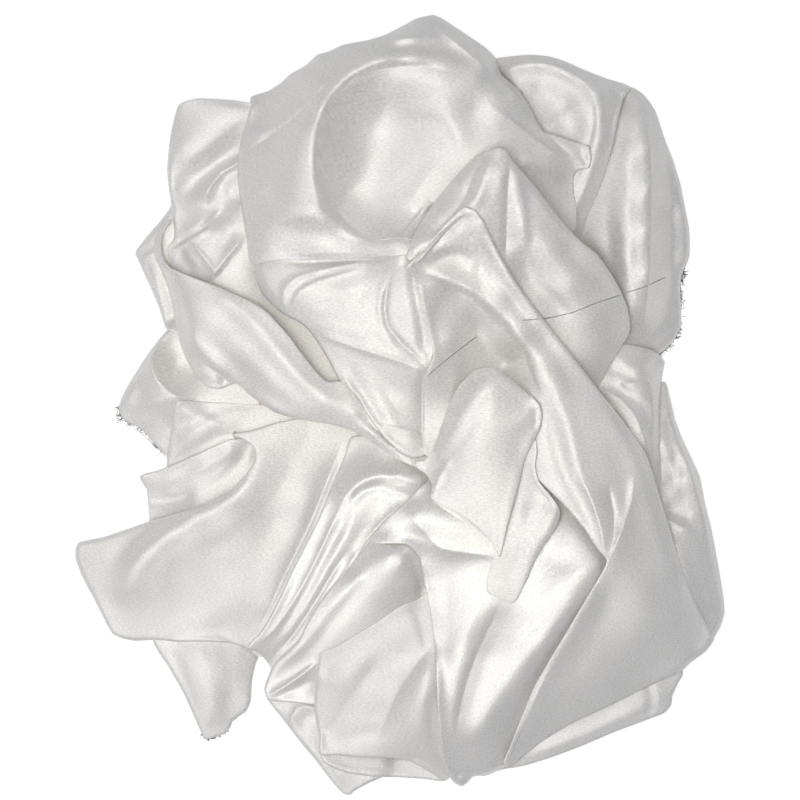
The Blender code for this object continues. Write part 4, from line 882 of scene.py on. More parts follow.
lay("pleat_fan", reach=5, edge=[  # x, y, z, rise
    (-12, -20, 30, 0), (-29, -19, 26, 1), (-34, -32, 23, 1), (-41, -48, 20, 1.5), (-49, -68, 16, 2),
    (-57, -84, 13, 2), (-66, -102, 11, 2), (-72, -115, 9, 2), (-78, -127, 8, 2), (-85, -138, 6, 2),
    (-92, -146, 4, 1), (-85, -149.5, 3, 1), (-79, -157, 3, 1), (-74, -166, 3, 0), (-62, -165, 4, 0),
    (-45, -150, 8, 0), (-25, -120, 12, 0), (-5, -100, 16, 0), (10, -80, 22, 0), (18, -60, 28, 0),
    (20, -42, 32, 0), (8, -36, 33, 0), (0, -31, 33, 0),
], crest=[  # x, y, z
    (-20, -30, 31), (-5, -36, 33), (-18, -45, 37), (-4, -43, 39), (8, -47, 38), (14, -53, 36),
    (-29, -52, 33), (-12, -56, 36), (-22, -75, 31), (-34, -92, 27), (-47, -108, 22),
    (-58, -125, 17), (-70, -143, 10), (-40, -66, 25), (-50, -86, 20), (-62, -110, 15), (0, -66, 37),
    (-10, -76, 33),
], folds=[  # height, left, right, sharp, path
    (2.8, 7, 3, 0, [(-38, -66), (-32, -54), (-24, -46), (-12, -42), (0, -42), (10, -47),
        (17, -56)]),
    (-1.8, 3, 3, 0, [(-30, -62), (-24, -53), (-13, -49), (0, -53), (12, -56)]),
    (1.3, 3.5, 1.3, 1, [(-32, -52), (-40, -70), (-49, -90), (-61, -113), (-75, -134), (-88, -147)]),
    (-1.3, 4, 4, 0, [(-27, -54), (-36, -74), (-46, -93), (-58, -115), (-72, -137), (-84, -149)]),
    (1.6, 4.5, 3, 0, [(-24, -56), (-32, -76), (-43, -96), (-55, -118), (-68, -138), (-80, -151)]),
    (-1.4, 1.2, 4, 1, [(-30, -84), (-41, -102), (-53, -122), (-66, -141), (-79, -154)]),
    (1.8, 5, 2.5, 0, [(-12, -66), (-24, -86), (-37, -104), (-50, -124), (-62, -142), (-75, -157)]),
    (-2, 1.2, 5, 1, [(4, -58), (-4, -64.5), (-12, -72), (-21, -82), (-29, -94), (-36, -103)]),
    (1.6, 3, 6, 0, [(2, -62), (-8, -70), (-18, -82), (-30, -96)]),
    (1.2, 1.2, 3, 1, [(2, -60.5), (8, -62), (16, -64)]),
    (-1.2, 3, 3, 0, [(-8, -78), (-20, -92), (-32, -106), (-44, -122)]),
], warp=-50)


# ---- lower ridge ----
# The broad smooth ridge right of the pleats. It starts in the middle and runs down to the
# left, where it folds into a small triangle.

lay("lower_ridge", reach=6, edge=[  # x, y, z, rise
    (-5, -76, 33, 1), (-18, -81.5, 30, 3), (-25.5, -90.5, 27, 4), (-33, -101, 24, 4),
    (-42, -110, 21, 4), (-50, -121, 17, 4), (-56, -131, 14, 4), (-60, -140, 12, 4),
    (-68, -148, 9, 4), (-76, -156, 6, 3), (-80.5, -166, 3, 2), (-82, -172, 3, 1),
    (-79.5, -178, 3, 1), (-65, -179.5, 4, 1), (-48, -181, 5, 0), (-30, -175, 12, 0),
    (-5, -150, 23, 0), (10, -130, 28, 0), (24, -117, 29, 0), (28, -106, 30, 0), (20, -92, 32, 0),
    (8, -80, 34, 0),
], crest=[  # x, y, z
    (-8, -90, 42), (-15, -105, 37), (-28, -120, 30), (-42, -138, 23), (-58, -155, 14),
    (-70, -168, 8), (0, -97, 42), (2, -110, 38), (-6, -118, 34), (-26, -104, 33), (-38, -120, 27),
    (-50, -136, 20), (10, -106, 33), (16, -112, 29),
], folds=[  # height, left, right, sharp, path
    (1.6, 3, 5, 0, [(-10, -86), (-3, -88), (2, -95), (6, -104), (8, -114)]),
    (-2, 3, 3, 0, [(4, -86), (9, -97), (12, -108), (13, -120)]),
    (1.6, 4, 6, 0, [(-12, -88), (-26, -104), (-42, -122), (-56, -142), (-72, -160)]),
    (-0.7, 5, 5, 0, [(-14, -98), (-28, -114), (-44, -134), (-58, -152)]),
    (2, 1.4, 4, 1, [(-82, -177), (-70, -170), (-60, -163), (-49, -154)]),
    (-1.5, 3, 3, 0, [(-76, -176), (-64, -171), (-52, -164)]),
    (1.4, 3, 3, 0, [(-80, -168), (-74, -158), (-64, -148), (-56, -138)]),
], warp=-50)


# ---- bottom pocket ----
# The front of the open fold at the bottom: two faces that meet in a long crease, with the
# pocket's mouth along its lower edge.

lay("bottom_pocket", reach=5, edge=[  # x, y, z, rise
    (-48, -149, 14, 1.5), (-38, -145, 18, 1), (-28, -139, 22, 1), (-15, -131, 26, 1),
    (0, -121, 30, 0.5), (10, -117, 32, 0.2), (20, -112, 32, 0), (26, -125, 30, 0),
    (30, -145, 28, 0), (34, -175, 24, 0), (36, -205, 16, 0), (34, -220, 6, 0), (27, -227, 3, 0),
    (20, -223, 4, 3), (12, -218, 7, 3), (5, -214.5, 10, 2), (-10, -212.5, 12, 1),
    (-25, -212, 12, 1), (-40, -211, 9, 1), (-48, -211, 6, 1), (-49, -200, 5, 4), (-51, -190, 5, 6),
    (-52, -180, 6, 7), (-51, -165, 8, 7), (-48.5, -153, 11, 4),
], crest=[  # x, y, z
    (-35, -165, 21), (-20, -155, 24), (-3, -140, 29), (10, -130, 31), (6, -150, 28), (-2, -166, 26),
    (-10, -182, 22), (-14, -198, 17), (17, -160, 35), (14, -176, 34), (10, -192, 28),
    (-30, -185, 17), (-38, -198, 12), (-22, -192, 17), (-3, -206, 17), (12, -206, 19),
], folds=[  # height, left, right, sharp, path
    (-2.2, 5, 13, 1, [(24, -138), (10, -156), (0, -170), (-8, -187), (-15, -206)]),
    (1.4, 7, 6, 0, [(22, -146), (16, -166), (10, -184), (8, -200), (16, -216)]),
    (-1.8, 5, 5, 0, [(-48, -210), (-39, -193), (-28, -176), (-17, -160), (-8, -147)]),
    (1.2, 7, 7, 0, [(-50, -178), (-40, -166), (-28, -156), (-12, -146)]),
    (-1, 4, 4, 0, [(-46, -206), (-28, -200), (-8, -196)]),
    (-1.8, 5, 4, 0, [(4, -118), (12, -128), (16, -142), (18, -154)]),
    (-1.5, 4, 4, 0, [(18, -170), (19, -188), (22, -206), (28, -222)]),
    (-2, 2, 3, 0, [(-2, -214), (10, -213), (20, -218), (28, -226)]),
], warp=15)


# ---- lower fan ----
# The folds that spread from the middle to the bottom tip: long, soft, uneven, and rolled to
# a point where they reach the table.

lay("lower_fan", reach=5, edge=[  # x, y, z, rise
    (-7, -67, 36, 1), (-14.5, -75, 34, 1), (-18.5, -80.5, 32, 0.6), (-12, -83, 35, 0.2),
    (-4, -83, 35, 0.2), (5, -84, 34, 0.2), (12, -92, 33, 0.2), (15, -107, 31, 0.2),
    (18, -122, 30, 0.3), (20, -138, 29, 1), (21, -152, 28, 2), (22, -168, 26, 2), (23, -186, 22, 2),
    (24, -200, 17, 3), (25.5, -212, 10, 4), (28.5, -222, 4, 3), (32, -227.5, 2, 3),
    (37, -230.5, 2, 3), (41, -228, 2, 3), (44, -224.5, 2, 4), (52, -224, 2, 6), (60, -220.5, 3, 7),
    (72, -214, 8, 0), (84, -190, 16, 0), (99, -162, 24, 0), (116, -134, 32, 0), (132, -106, 36, 0),
    (130, -88, 36, 0), (116, -70, 36, 0), (100, -50, 36, 0), (84, -30, 36, 0), (60, -20, 36, 0),
    (34, -28, 34, 0), (18, -44, 34, 0), (3, -58, 36, 1),
], crest=[  # x, y, z
    (10, -64, 43), (28, -70, 46), (43, -78, 46), (57, -88, 46), (25, -88, 42), (42, -95, 43),
    (34, -105, 40), (27, -125, 36), (27, -150, 32), (27, -175, 28), (28, -195, 23), (54, -122, 44),
    (46, -136, 41), (40, -156, 36), (36, -178, 31), (60, -130, 42), (54, -150, 37), (48, -175, 33),
    (42, -202, 25), (70, -146, 40), (60, -170, 34), (52, -198, 27), (100, -95, 48), (112, -98, 50),
    (90, -120, 47), (75, -110, 44), (85, -80, 44), (105, -75, 44), (102, -122, 47), (86, -146, 42),
    (72, -172, 34), (88, -100, 46), (76, -132, 43),
], folds=[  # height, left, right, sharp, path
    (1.2, 5, 2, 1, [(1, -59), (9, -70), (17, -79), (25, -86), (42, -89), (60, -91)]),
    (-1, 1.3, 5, 1, [(14, -54), (26, -62), (40, -70), (52, -80), (61, -92)]),
    (1.2, 3, 5, 0, [(-6, -80), (8, -81), (22, -85), (42, -90)]),
    (1.2, 5, 5, 0, [(2, -84), (14, -96), (20, -112), (22, -130), (23, -148)]),
    (-0.9, 4, 6, 0, [(27, -112), (27, -140), (27, -166), (28, -192), (31, -212)]),
    (1.2, 5, 6, 0, [(52, -116), (41, -134), (35, -154), (32, -176), (32, -200)]),
    (-1.3, 1.3, 6, 1, [(33, -204), (35, -186), (40, -165), (48, -144), (60, -119)]),
    (-1.2, 6, 6, 0, [(62, -128), (53, -148), (46, -170), (41, -194), (40, -212)]),
    (2.4, 8, 8, 0, [(118, -106), (99, -128), (80, -149), (62, -172), (48, -198), (42, -216)]),
    (-2.2, 4, 4, 0, [(122, -100), (106, -128), (88, -154), (72, -182), (60, -208)]),
    (-1.2, 8, 8, 0, [(80, -84), (92, -92), (104, -96), (120, -95)]),
    (1.4, 1.4, 4, 1, [(26, -212), (29, -219), (34, -225), (41, -226)]),
], warp=-60, sag=9)


# ---- upper left flap ----
# The flap at the upper left with the small folds under it: a bright top, a soft valley, a
# short arch and two sharp creases. Its hidden side is the floor of the hollow.

lay("upper_left_flap", reach=6, edge=[  # x, y, z, rise
    (-133, 181, 18, 2), (-128, 183.3, 20, 2), (-120, 184.5, 21, 2), (-110, 184, 22, 2),
    (-98, 183, 23, 1), (-80, 178, 26, 0), (-72, 150, 30, 0), (-72, 110, 30, 0), (-64, 72, 14, 0),
    (-44, 48, 8, 0), (-30, 20, 6, 0), (-48, 8, 8, 0), (-76, 28, 20, 0), (-100, 50, 20, 0),
    (-125, 64, 18, 0), (-137, 80, 14, 0), (-140, 95, 12, 0), (-136.5, 100, 10, 4),
    (-137, 110, 8, 7), (-138, 120, 8, 8), (-139.5, 130, 8, 7), (-140.5, 142, 8, 6),
    (-139.5, 155, 9, 5), (-138, 165, 11, 4), (-135.5, 175, 15, 3),
], crest=[  # x, y, z
    (-120, 175, 22), (-105, 172, 24), (-130, 155, 18), (-115, 150, 17), (-128, 138, 13),
    (-112, 146, 14), (-100, 155, 17), (-125, 120, 17), (-115, 110, 24), (-105, 95, 26),
    (-125, 100, 22), (-118, 88, 24), (-95, 85, 27), (-100, 130, 22), (-92, 110, 25),
], folds=[  # height, left, right, sharp, path
    (4, 18, 8, 0, [(-146, 145), (-128, 150), (-112, 160), (-98, 172), (-84, 186)]),
    (-4, 7, 6, 0, [(-142, 120), (-130, 128), (-114, 140), (-99, 150), (-84, 154)]),
    (6, 2.4, 6, 1, [(-88, 149), (-98, 145), (-107, 140), (-113, 133), (-116.5, 126), (-117, 118)]),
    (-5, 7, 7, 0, [(-84, 128), (-101, 124), (-108, 116), (-106, 104)]),
    (1.6, 2, 4, 0, [(-88, 104), (-96, 114), (-102, 124), (-104, 134)]),
    (-2.4, 1.2, 5, 1, [(-139, 94), (-129, 101), (-120, 106), (-111, 114), (-105, 120)]),
    (2, 4, 1.6, 1, [(-139, 92), (-128, 98), (-119, 103), (-112, 108)]),
    (2, 1.4, 4, 1, [(-126, 100), (-121, 93), (-115, 86), (-109, 77)]),
    (2.2, 4, 1.4, 1, [(-115, 74), (-106, 86), (-98, 96), (-92, 104)]),
    (-1.5, 3, 3, 0, [(-134, 92), (-129, 85), (-122, 78)]),
    (-1.8, 4, 4, 0, [(-108, 92), (-104, 100), (-100, 108)]),
    (1.2, 2, 2, 0, [(-131, 98), (-126, 90), (-121, 82)]),
])


# ---- diagonal band ----
# The garland from the upper left to the middle: a band of satin rolled over at both edges,
# hung loose, with long soft folds that draw together where it ends.

lay("diagonal_band", reach=8, edge=[  # x, y, z, rise
    (-138, 112, 14, 1), (-142, 109.5, 13, 2), (-146, 104, 12, 4), (-148.5, 97, 12, 5),
    (-148, 90, 12, 6), (-144.5, 82, 12, 8), (-140.5, 73, 12, 9), (-137.5, 62, 12, 10),
    (-135.5, 50, 12, 11), (-133, 38, 12, 12), (-130, 30, 12, 12), (-126.5, 23, 12, 12),
    (-121, 14.5, 12, 12), (-115, 10.3, 13, 11), (-108, 9.3, 15, 10), (-103, 11.5, 18, 8),
    (-99, 13, 21, 7), (-91, 6.5, 24, 7), (-83, 0.5, 27, 6), (-75, -4.3, 29, 6), (-67, -7, 30, 5),
    (-58, -9, 31, 4), (-44, -11, 32, 3), (-30, -14.5, 33, 3), (-20, -20, 34, 3), (-10, -27, 34, 3),
    (-2, -32.5, 34, 3), (7, -36.5, 34, 2), (17, -39, 34, 2), (24, -34, 35, 0), (24, -20, 36, 0),
    (10, -14, 36, 0), (-5, -10, 36, 0), (-18, 5, 37, 0), (-28, 14, 38, 0), (-37, 14.5, 38, 1),
    (-44, 14.3, 39, 2), (-50, 20, 40, 2), (-58, 30, 41, 2), (-66, 41, 41, 2), (-74, 50, 40, 2),
    (-80.5, 56.5, 39, 2), (-89, 62, 37, 2), (-99, 66.5, 35, 2), (-109, 71, 32, 2),
    (-119, 74.7, 30, 2), (-129, 78.5, 27, 2), (-137, 82, 24, 1), (-141.5, 86, 21, 1),
    (-144, 92, 18, 0), (-144, 100, 17, 0), (-141, 107, 16, 0),
], crest=[  # x, y, z
    (-130, 60, 27), (-125, 40, 28), (-118, 24, 26), (-112, 18, 25), (-105, 62, 37), (-90, 48, 41),
    (-78, 30, 43), (-62, 12, 43), (-45, 0, 42), (-28, -6, 41), (-12, -16, 40), (5, -28, 38),
    (-110, 45, 33), (-98, 30, 34), (-85, 14, 34), (-70, 2, 35),
], folds=[  # height, left, right, sharp, path
    (1.4, 4, 6, 0, [(-124, 76), (-108, 67), (-94, 56), (-78, 38), (-61, 18), (-44, 4), (-24, -8)]),
    (-1, 4, 4, 0, [(-122, 68), (-106, 56), (-90, 40), (-72, 20), (-54, 4), (-38, -4)]),
    (1.1, 4, 5, 0, [(-126, 62), (-110, 47), (-94, 31), (-76, 12), (-60, -2), (-48, -8)]),
    (-1.2, 4, 5, 0, [(-128, 52), (-113, 37), (-98, 22), (-82, 7)]),
    (1.2, 3, 3, 0, [(-131, 46), (-120, 34), (-108, 22), (-98, 14)]),
    (-1.6, 4, 4, 0, [(-136, 66), (-132, 50), (-127, 34)]),
    (-2, 1.2, 4, 1, [(-131, 28), (-122, 27.5), (-113, 22), (-104, 15), (-98, 12)]),
    (1.5, 3, 3, 0, [(-127, 24), (-117, 17), (-106, 13)]),
    (1.3, 3, 1.3, 1, [(-104, 12), (-92, 8), (-80, 1), (-68, -5), (-54, -8.5)]),
    (1.5, 1.2, 3, 1, [(-143, 112), (-147, 103), (-147, 92), (-142, 83), (-133, 80.5), (-120, 76)]),
    (2.4, 2, 3, 0, [(-30, -10), (-18, -16), (-8, -24), (2, -31), (14, -35)]),
    (-2, 2, 2, 0, [(-26, -3), (-14, -14), (-4, -23), (8, -31)]),
], sag=3)


# ---- centre swag ----
# The folds hung from the middle point. They draw together under the big drape and end in
# a round hem at the bottom, with a deep crease down their right side.

lay("centre_swag", reach=6, edge=[  # x, y, z, rise
    (-86, 98, 34, 0), (-87.5, 86, 32, 3), (-86, 75, 33, 3), (-82, 66, 34, 3), (-76, 59.5, 36, 3),
    (-68, 53.5, 38, 3), (-60, 49.5, 39, 3), (-54, 44, 40, 3), (-49, 37, 40, 4), (-43, 27, 40, 4),
    (-37, 16, 40, 4), (-31, 10, 40, 4), (-25, 4, 40, 4), (-20, -5, 40, 4), (-14, -14, 40, 4),
    (-6, -23, 40, 4), (1, -29.5, 40, 4), (8, -32, 40, 4), (14, -31, 40, 3), (19, -27, 40, 2),
    (25, -15, 40, 0), (30, 10, 42, 0), (30, 40, 46, 0), (22, 75, 54, 0), (18, 95, 62, 0),
    (0, 100, 64, 0), (-20, 98, 58, 0), (-50, 98, 48, 0), (-72, 100, 40, 0),
], crest=[  # x, y, z
    (0, 86, 68), (-10, 83, 60), (-35, 82, 48), (-50, 80, 45), (-20, 83, 53), (-72, 66, 42),
    (-78, 80, 41), (-65, 62, 45), (-50, 70, 50), (-30, 71, 54), (-12, 76, 58), (-40, 55, 50),
    (-20, 58, 54), (-55, 52, 44), (-35, 42, 48), (9, 62, 60), (-6, 58, 57), (-2, 68, 60),
    (-4, 46, 54), (9, 48, 57), (12, 35, 54), (-40, 40, 47), (-20, 34, 51), (0, 27, 52),
    (12, 22, 55), (-25, 20, 44), (-5, 10, 43), (8, 0, 42), (10, -18, 41), (-10, -5, 42),
    (5, -25, 42),
], folds=[  # height, left, right, sharp, path
    (-1.6, 9, 1.4, 1, [(-76, 86), (-60, 85), (-44, 85.5), (-26, 86.5), (-8, 87), (2, 88)]),
    (1.8, 2, 4, 1, [(-66, 54), (-70, 62), (-69, 70), (-62, 76), (-50, 80), (-36, 83), (-20, 86)]),
    (1.4, 2, 3, 1, [(-62, 53), (-64, 61), (-60, 68), (-50, 74), (-36, 78), (-20, 82)]),
    (-1.2, 2, 2, 0, [(-64, 55), (-66, 64), (-60, 72), (-48, 77), (-34, 81)]),
    (1.5, 4, 3, 0, [(-84, 92), (-82, 78), (-76, 66), (-66, 58)]),
    (-2.4, 1.2, 3.5, 1, [(-2, 84), (-7, 72), (-9, 58), (-7, 47), (1, 37), (10, 29), (17, 20)]),
    (1.8, 5, 1.5, 0, [(-5, 82), (-11, 68), (-12, 56), (-9, 44), (0, 33)]),
    (2.4, 1.6, 3, 1, [(7, 84), (12, 70), (15, 56), (18, 44), (20, 32), (16, 18)]),
    (-1.6, 2, 3, 0, [(6, 80), (9, 68), (12, 55), (14, 42), (15, 28)]),
    (2, 2.5, 1.3, 1, [(-50, 43), (-34, 37), (-16, 31), (0, 26), (14, 20)]),
    (2.2, 2, 4, 1, [(-38, 24), (-28, 8), (-20, -6), (-10, -19), (0, -27), (8, -30), (16, -28)]),
    (-1.8, 3, 3, 0, [(-32, 22), (-22, 4), (-13, -9), (-3, -20), (8, -25)]),
    (1.2, 1, 6, 1, [(-16, -12), (0, -14), (14, -17)]),
    (-2.6, 1.0, 5, 1, [(14, 22), (13.5, 8), (13.5, -10), (14, -28)]),
    (1.2, 3, 5, 0, [(-60, 47), (-40, 47), (-20, 42), (0, 34)]),
    (-1.2, 4, 4, 0, [(-54, 60), (-34, 62), (-16, 66)]),
    (1.2, 4, 4, 0, [(-30, 30), (-18, 14), (-8, -2), (0, -14)]),
], sag=4)


# ---- crown ----
# The big drape at the top. It stands highest, round a wide bowl, with creases along its top
# edge and a small tube-like tip at the right.

lay("crown", reach=9, edge=[  # x, y, z, rise
    (8, 90.5, 60, 0), (0, 89, 60, 1), (-8, 88.5, 58, 0.5), (-20, 88, 55, 0.3), (-40, 87.5, 50, 0.3),
    (-55, 87, 46, 0.3), (-68, 87, 42, 0.2), (-80, 86, 38, 0.2), (-88, 84, 34, 0.2),
    (-91, 89, 29, 10), (-92, 98, 26, 17), (-94.5, 112, 25, 18), (-96.5, 125, 25, 18),
    (-97.5, 138, 25, 17), (-97.5, 146, 25, 16), (-96, 158, 25, 14), (-93, 170, 22, 14),
    (-90, 180, 14, 16), (-90, 186, 5, 16), (-80, 189.5, 4, 23), (-72, 194.5, 4, 28),
    (-66, 200, 3, 31), (-57, 205, 3, 34), (-50, 211.5, 3, 35), (-44, 213, 3, 37),
    (-34, 217.5, 3, 39), (-20, 220, 3, 41), (-10, 223, 3, 41), (0, 228, 3, 39), (10, 233.3, 3, 35),
    (20, 235.5, 3, 31), (26, 233, 3, 31), (32, 229, 3, 38), (44, 221, 3, 40), (52, 215.5, 3, 40),
    (58, 209, 5, 38), (61, 198, 34, 6), (70, 190, 40, 6), (76, 182, 42, 5), (81, 172, 43, 5),
    (86, 164, 43, 4), (92, 162, 43, 1), (103, 158.5, 40, 1), (113, 155, 37, 1), (115, 148, 35, 2),
    (113, 142, 36, 2), (107, 141, 38, 1), (104, 137, 38, 0.2), (104, 128, 38, 0.2),
    (106, 116, 38, 0.2), (104, 104, 38, 0), (84, 112, 44, 0), (70, 112, 46, 0), (50, 108, 48, 0),
    (30, 102, 50, 0), (15, 95, 54, 0),
], crest=[  # x, y, z
    (-46, 125, 62), (-47, 145, 66), (-46, 160, 67), (-41, 177, 67), (-32, 190, 67),
    (-58, 124, 62.5), (-60, 145, 67), (-58, 163, 67.5), (-50, 182, 67.5), (-22, 198, 67),
    (-8, 206, 66), (10, 207, 65), (28, 203, 63), (45, 196, 60), (58, 186, 57), (-72, 150, 54),
    (-74, 125, 51), (-67, 170, 52), (-58, 185, 50), (-20, 213, 57), (0, 214, 57), (16, 215, 56),
    (-18, 217, 56), (2, 221, 55), (16, 223, 53), (27, 219, 49), (38, 210, 51), (31, 224, 50),
    (43, 215, 49), (54, 205, 48), (-22, 150, 45), (-4, 138, 47), (-26, 168, 48), (-8, 180, 50),
    (-32, 128, 45), (-12, 110, 48), (12, 166, 52), (25, 152, 55), (18, 132, 53), (34, 160, 58),
    (0, 115, 50), (-35, 106, 54), (-18, 97, 57), (5, 96, 60), (-48, 108, 57), (-68, 105, 50),
    (-78, 92, 43), (-62, 95, 48), (-40, 94, 53), (45, 175, 57), (60, 165, 56), (75, 155, 52),
    (90, 148, 47), (50, 150, 57), (38, 145, 56),
], folds=[  # height, left, right, sharp, path
    (2.2, 5, 4, 0, [(4, 91), (-10, 94), (-24, 99), (-38, 108), (-47, 120), (-51, 144), (-49, 162),
        (-43, 178), (-34, 191), (-22, 200), (-6, 207), (14, 208), (34, 204), (50, 196), (62, 186)]),
    (-3.5, 1.4, 14, 1, [(-4, 94), (-16, 98), (-30, 107), (-41, 120), (-46, 136), (-47.5, 152),
        (-46, 167), (-40, 182), (-29, 194), (-14, 200.5), (4, 202.5), (22, 201), (38, 195)]),
    (-3, 7, 7, 0, [(-32, 112), (-37, 130), (-38, 150), (-35, 168), (-28, 182), (-14, 191),
        (4, 194)]),
    (1.5, 4, 7, 0, [(36, 146), (36, 156), (33, 166), (24, 174), (10, 176), (-4, 172)]),
    (1.5, 6, 6, 0, [(30, 150), (22, 140), (12, 130), (6, 116)]),
    (-2, 1.2, 4, 1, [(14, 120), (8, 112), (2, 105), (-4, 100)]),
    (1.5, 1.4, 3, 1, [(20, 122), (12, 114), (6, 107), (2, 99)]),
    (4, 1.4, 6, 1, [(-48, 203), (-30, 212), (-10, 217), (10, 219.5), (28, 219.5)]),
    (-1.8, 4, 3, 0, [(-52, 198), (-34, 208), (-12, 213), (10, 215), (28, 212)]),
    (2, 3, 2, 0, [(-28, 222), (-10, 225), (6, 227), (18, 230)]),
    (5, 1.5, 7, 1, [(18, 230), (27, 222), (38, 213), (50, 203), (61, 194), (72, 182), (82, 170)]),
    (-2.5, 3, 1.5, 0, [(30, 231), (42, 218), (54, 207), (63, 197)]),
    (-2.2, 1.4, 5, 1, [(-92, 152), (-80, 160), (-68, 167), (-56, 178), (-46, 189), (-38, 198)]),
    (1.6, 4, 2, 0, [(-94, 158), (-80, 165), (-66, 174), (-54, 186)]),
    (2, 2, 3, 1, [(-88, 188), (-76, 193), (-64, 199), (-52, 207), (-42, 213)]),
    (-1.5, 2, 3, 0, [(-84, 186), (-70, 193), (-56, 202), (-44, 209)]),
    (2, 3, 6, 0, [(-30, 104), (-44, 110), (-58, 113), (-72, 110), (-82, 102), (-88, 90)]),
    (0.8, 1.4, 3, 1, [(-2, 89.5), (-20, 90), (-38, 90.5), (-56, 90), (-72, 89)]),
    (-1.6, 5, 5, 0, [(-70, 100), (-58, 103), (-46, 101), (-32, 97)]),
    (1.6, 1.4, 5, 1, [(50, 180), (64, 172), (78, 161), (92, 151), (104, 144)]),
    (-2, 4, 1.4, 1, [(66, 190), (78, 176), (88, 163), (98, 153), (108, 146)]),
    (1.6, 3, 3, 0, [(84, 165), (94, 158), (104, 152), (112, 150)]),
    (-4, 2.5, 2.5, 0, [(104, 151), (109, 149.5), (112, 146), (112, 140)]),
    (1.6, 3, 3, 0, [(70, 148), (82, 144), (92, 139), (98, 132)]),
    (1.2, 6, 6, 0, [(-90, 172), (-84, 150), (-84, 128), (-86, 106)]),
    (-1.2, 6, 6, 0, [(-72, 160), (-72, 140), (-74, 118)]),
])


# ---- right sweep ----
# The drape from the peak down to the right: a sharp fold from the peak, then one smooth,
# slightly crumpled face to its round outer edge.

lay("right_sweep", reach=7, edge=[  # x, y, z, rise
    (50, 151, 72, 3), (58, 153.5, 75, 5), (63, 152, 75, 5), (66, 147, 73, 6), (70, 142, 72, 7),
    (80, 131, 66, 9), (90, 118, 62, 10), (100, 106, 58, 10), (108, 98, 56, 10), (118, 90, 52, 10),
    (126, 79, 47, 10), (132, 69, 43, 9), (136.5, 58, 39, 9), (138, 49, 36, 8), (137.5, 43, 34, 8),
    (133, 35, 31, 7), (128, 27, 30, 7), (123, 18, 30, 6), (118, 10, 32, 4), (108, 2, 36, 0),
    (92, 12, 42, 0), (78, 32, 48, 0), (64, 52, 54, 0), (52, 75, 62, 0), (38, 92, 67, 0),
    (25, 90, 65, 0), (12, 86, 63, 0), (4, 87, 62, 0.2), (5, 93, 59, 0.2), (8, 101, 56, 0.2),
    (13, 110, 54, 0.2), (20, 120, 55, 0.2), (28, 130, 58, 0.2), (37, 140, 63, 0.2),
    (45, 148, 68, 1),
], crest=[  # x, y, z
    (57, 140, 81), (50, 130, 79), (42, 121, 77), (30, 112, 74), (15, 99, 69), (8, 92, 68),
    (60, 120, 77), (63, 100, 70), (75, 115, 72), (90, 95, 65), (80, 80, 60), (105, 75, 58),
    (120, 60, 50), (100, 50, 50), (120, 30, 42), (128, 45, 40), (110, 20, 40), (70, 70, 56),
    (20, 118, 62), (34, 132, 68),
], folds=[  # height, left, right, sharp, path
    (2.5, 5, 5, 0, [(50, 149), (38, 136), (24, 120), (10, 102)]),
    (-2.5, 1.5, 5, 1, [(50, 150), (43, 134), (38, 122), (28, 110), (12, 96)]),
    (3, 4, 3, 0, [(53, 149), (49, 135), (45, 122), (36, 115)]),
    (-2.5, 5, 1.2, 1, [(66, 148), (64, 132), (63.5, 115), (63, 100), (62.5, 86)]),
    (2.5, 3, 7, 0, [(62, 153), (68, 140), (72, 122), (74, 104), (74, 88)]),
    (2, 3, 7, 1, [(66, 148), (78, 133), (92, 113), (106, 97)]),
    (2.5, 8, 8, 0, [(76, 122), (84, 104), (92, 88), (104, 74), (118, 66)]),
    (-2.5, 6, 6, 0, [(70, 95), (77, 80), (90, 64), (104, 52)]),
    (2, 6, 6, 0, [(74, 84), (86, 72), (100, 64), (116, 52), (128, 42)]),
    (-1.6, 5, 5, 0, [(96, 98), (108, 84), (120, 74), (130, 62)]),
])


# ---- middle sweep ----
# The long sweep from the arch in the middle to the lower right. A deep hollow opens under
# its left side, and four creases meet in a star half way down.

